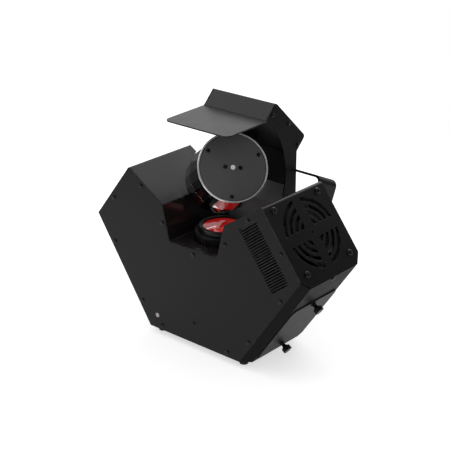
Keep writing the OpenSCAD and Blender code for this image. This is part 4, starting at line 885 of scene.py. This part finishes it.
def drum_barrel():
    """The barrel without its mirrors, hollowed from the back up to a thin front web."""
    clear_selection()
    bpy.ops.mesh.primitive_cylinder_add(vertices=MIRROR_COUNT, radius=DRUM_MID_R - MIRROR_T,
                                        depth=DRUM_FRONT + DRUM_REAR,
                                        rotation=(0, math.pi / 2, 0),
                                        location=((DRUM_FRONT - DRUM_REAR) / 2, 0, 0))
    barrel = bpy.context.active_object
    barrel.name = "drum_barrel"
    bpy.ops.object.transform_apply(location=True, rotation=True, scale=True)
    bpy.ops.object.mode_set(mode="EDIT")
    bpy.ops.mesh.select_all(action="SELECT")
    bpy.ops.mesh.bisect(plane_co=(0, 0, 0), plane_no=(1, 0, 0))
    mesh = bmesh.from_edit_mesh(barrel.data)
    ends = (DRUM_END_R - MIRROR_T) / (DRUM_MID_R - MIRROR_T)
    for corner in mesh.verts:
        if abs(corner.co.x) > DRUM_FRONT / 2:
            corner.co.y *= ends
            corner.co.z *= ends
    pick_faces(barrel, lambda face: abs(face.normal.x) > FACING)
    bpy.ops.mesh.inset(thickness=DRUM_END_R - MIRROR_T - DRUM_BORE_R)
    mesh = bmesh.from_edit_mesh(barrel.data)
    for face in [face for face in mesh.faces if face.select]:
        face.select = face.calc_center_median().x < 0
    bpy.ops.mesh.extrude_region_move(
        TRANSFORM_OT_translate={"value": (DRUM_REAR + DRUM_FRONT - DRUM_WEB, 0, 0)})
    bpy.ops.object.mode_set(mode="OBJECT")
    barrel.data.transform(DRUM)
    return barrel


barrel = drum_barrel()
barrel_plastic = finish("barrel_moulded_plastic", srgb(18, 18, 19), srgb(40, 40, 41),
                        roughness=0.45, grain=0.2, grain_scale=700)
barrel.data.materials.append(barrel_plastic)
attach(barrel, "drum")
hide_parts("drum_shell")


# The drum's mirrors: two rows of flat strips, cut from silvered glass with ground edges. Each
# is glued to its facet, with a hair of a gap to the next.
MIRROR_GAP = 0.00035
MIRROR_BEVEL = 0.00006
GLUE_T = 0.00005


def mirror_strip(name, x_end):
    """The first mirror of a row, between the drum's middle and its end at x_end."""
    clear_selection()
    bpy.ops.mesh.primitive_plane_add(size=1)
    strip = bpy.context.active_object
    strip.name = name
    bpy.ops.object.mode_set(mode="EDIT")
    mesh = bmesh.from_edit_mesh(strip.data)
    for corner in mesh.verts:
        outer = corner.co.x > 0
        radius = DRUM_END_R if outer else DRUM_MID_R
        angle = MIRROR_STEP if corner.co.y > 0 else 0
        corner.co = (x_end if outer else 0, radius * math.sin(angle),
                     -radius * math.cos(angle))
    bpy.ops.mesh.select_all(action="SELECT")
    bpy.ops.mesh.select_mode(type="FACE")
    bpy.ops.mesh.inset(thickness=MIRROR_GAP / 2)
    bpy.ops.mesh.select_all(action="INVERT")
    bpy.ops.mesh.delete(type="FACE")
    bpy.ops.mesh.select_all(action="SELECT")
    mesh = bmesh.from_edit_mesh(strip.data)
    face = mesh.faces[:][0]
    outwards = Vector((0, math.sin(MIRROR_STEP / 2), -math.cos(MIRROR_STEP / 2)))
    if face.normal.dot(outwards) < 0:
        bpy.ops.mesh.flip_normals()
    inwards = -outwards * (MIRROR_T - GLUE_T)
    bpy.ops.mesh.extrude_region_move(TRANSFORM_OT_translate={"value": inwards})
    bpy.ops.mesh.select_all(action="SELECT")
    bpy.ops.mesh.normals_make_consistent(inside=False)
    pick_faces(strip, facing(outwards))
    bpy.ops.mesh.bevel(offset=MIRROR_BEVEL, segments=1)
    bpy.ops.object.mode_set(mode="OBJECT")
    return strip


def mirror_rows(name):
    """Both rows of strips, joined and set round the drum."""
    strips = []
    for x_end in (DRUM_FRONT, -DRUM_REAR):
        first = mirror_strip("mirror_strip", x_end)
        for k in range(MIRROR_COUNT):
            strips.append(own_copy(first, DRUM @ Matrix.Rotation(MIRROR_STEP * k, 4, "X")))
        bpy.data.objects.remove(first)
    return join(strips, name)


mirrors = mirror_rows("drum_mirrors")
mirror_silver = finish("mirror_silvered_glass", srgb(222, 224, 226), srgb(222, 224, 226),
                       roughness=0.03, spread=0.02, grain=0.0, metallic=1.0, patch=0.02)
mirrors.data.materials.append(mirror_silver)
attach(mirrors, "drum")
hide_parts("drum_shell")


# The drum's disc and rim: a moulded disc in grey paint closes the barrel's front inside a
# bright bevelled metal rim. Three screws near the disc's edge hold both.
disc_paint = finish("drum_disc_paint", srgb(92, 92, 94), srgb(130, 130, 132), roughness=0.42,
                    level=0.3)
dress(disc_paint, "drum_end_cap")
rim_metal = finish("rim_bright_metal", srgb(250, 250, 252), srgb(250, 250, 252), roughness=0.3,
                   grain=0.0, metallic=0.6, patch=0.04)
dress(rim_metal, "drum_rim")


# The end of the drum's shaft: it shows as a small pale bush in the middle of the disc, between
# its two screws, a hair proud of the paint and with its rim rounded.
SHAFT_END_R = 0.0029
SHAFT_END_PROUD = 0.0006
SHAFT_END_ROUND = 0.0003


def shaft_bush(name):
    """A short bush, half sunk in the disc's face and rounded at its edge."""
    disc_face = max(c.x for c in corners_in(DRUM, "drum_end_cap"))
    clear_selection()
    bpy.ops.mesh.primitive_cylinder_add(vertices=32, radius=SHAFT_END_R,
                                        depth=2 * SHAFT_END_PROUD,
                                        rotation=(0, math.pi / 2, 0),
                                        location=(disc_face, 0, 0))
    bush = bpy.context.active_object
    bush.name = name
    bpy.ops.object.transform_apply(location=True, rotation=True, scale=True)
    bpy.ops.object.mode_set(mode="EDIT")
    pick_faces(bush, facing((1, 0, 0)))
    bpy.ops.mesh.bevel(offset=SHAFT_END_ROUND, segments=2)
    bpy.ops.object.mode_set(mode="OBJECT")
    bush.data.transform(DRUM)
    return bush


shaft_end = shaft_bush("drum_shaft_end")
bush_plastic = finish("shaft_bush_plastic", srgb(252, 252, 252), srgb(252, 252, 252),
                      roughness=0.3, grain=0.0, patch=0.02)
shaft_end.data.materials.append(bush_plastic)
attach(shaft_end, "drum")


# The pieces inside, seen only through slots, from under the hood and with the door off: the
# cast heat sink, laser-cut plates, lacquered motors, circuit boards, the lamp and its glass.
dress(finish("bare_aluminium", srgb(170, 171, 174), srgb(200, 200, 200), roughness=0.35,
             metallic=0.9), "heat_sink", "wheel_plate", "pattern_wheel")
dress(finish("motor_lacquer", srgb(30, 30, 32), srgb(120, 120, 122), roughness=0.3,
             metallic=0.5), "pan_motor", "roll_motor", "wheel_motors")
dress(finish("circuit_board", srgb(16, 70, 34), srgb(30, 90, 50), roughness=0.4),
      "electronics")
dress(finish("led_package", srgb(220, 216, 190), srgb(220, 216, 190)), "led_board")
dress(finish("filter_glass", srgb(190, 60, 60), srgb(190, 60, 60), roughness=0.1),
      "color_wheel")
dress(finish("condenser_glass", srgb(220, 225, 230), srgb(220, 225, 230), roughness=0.05),
      "condenser_lens")
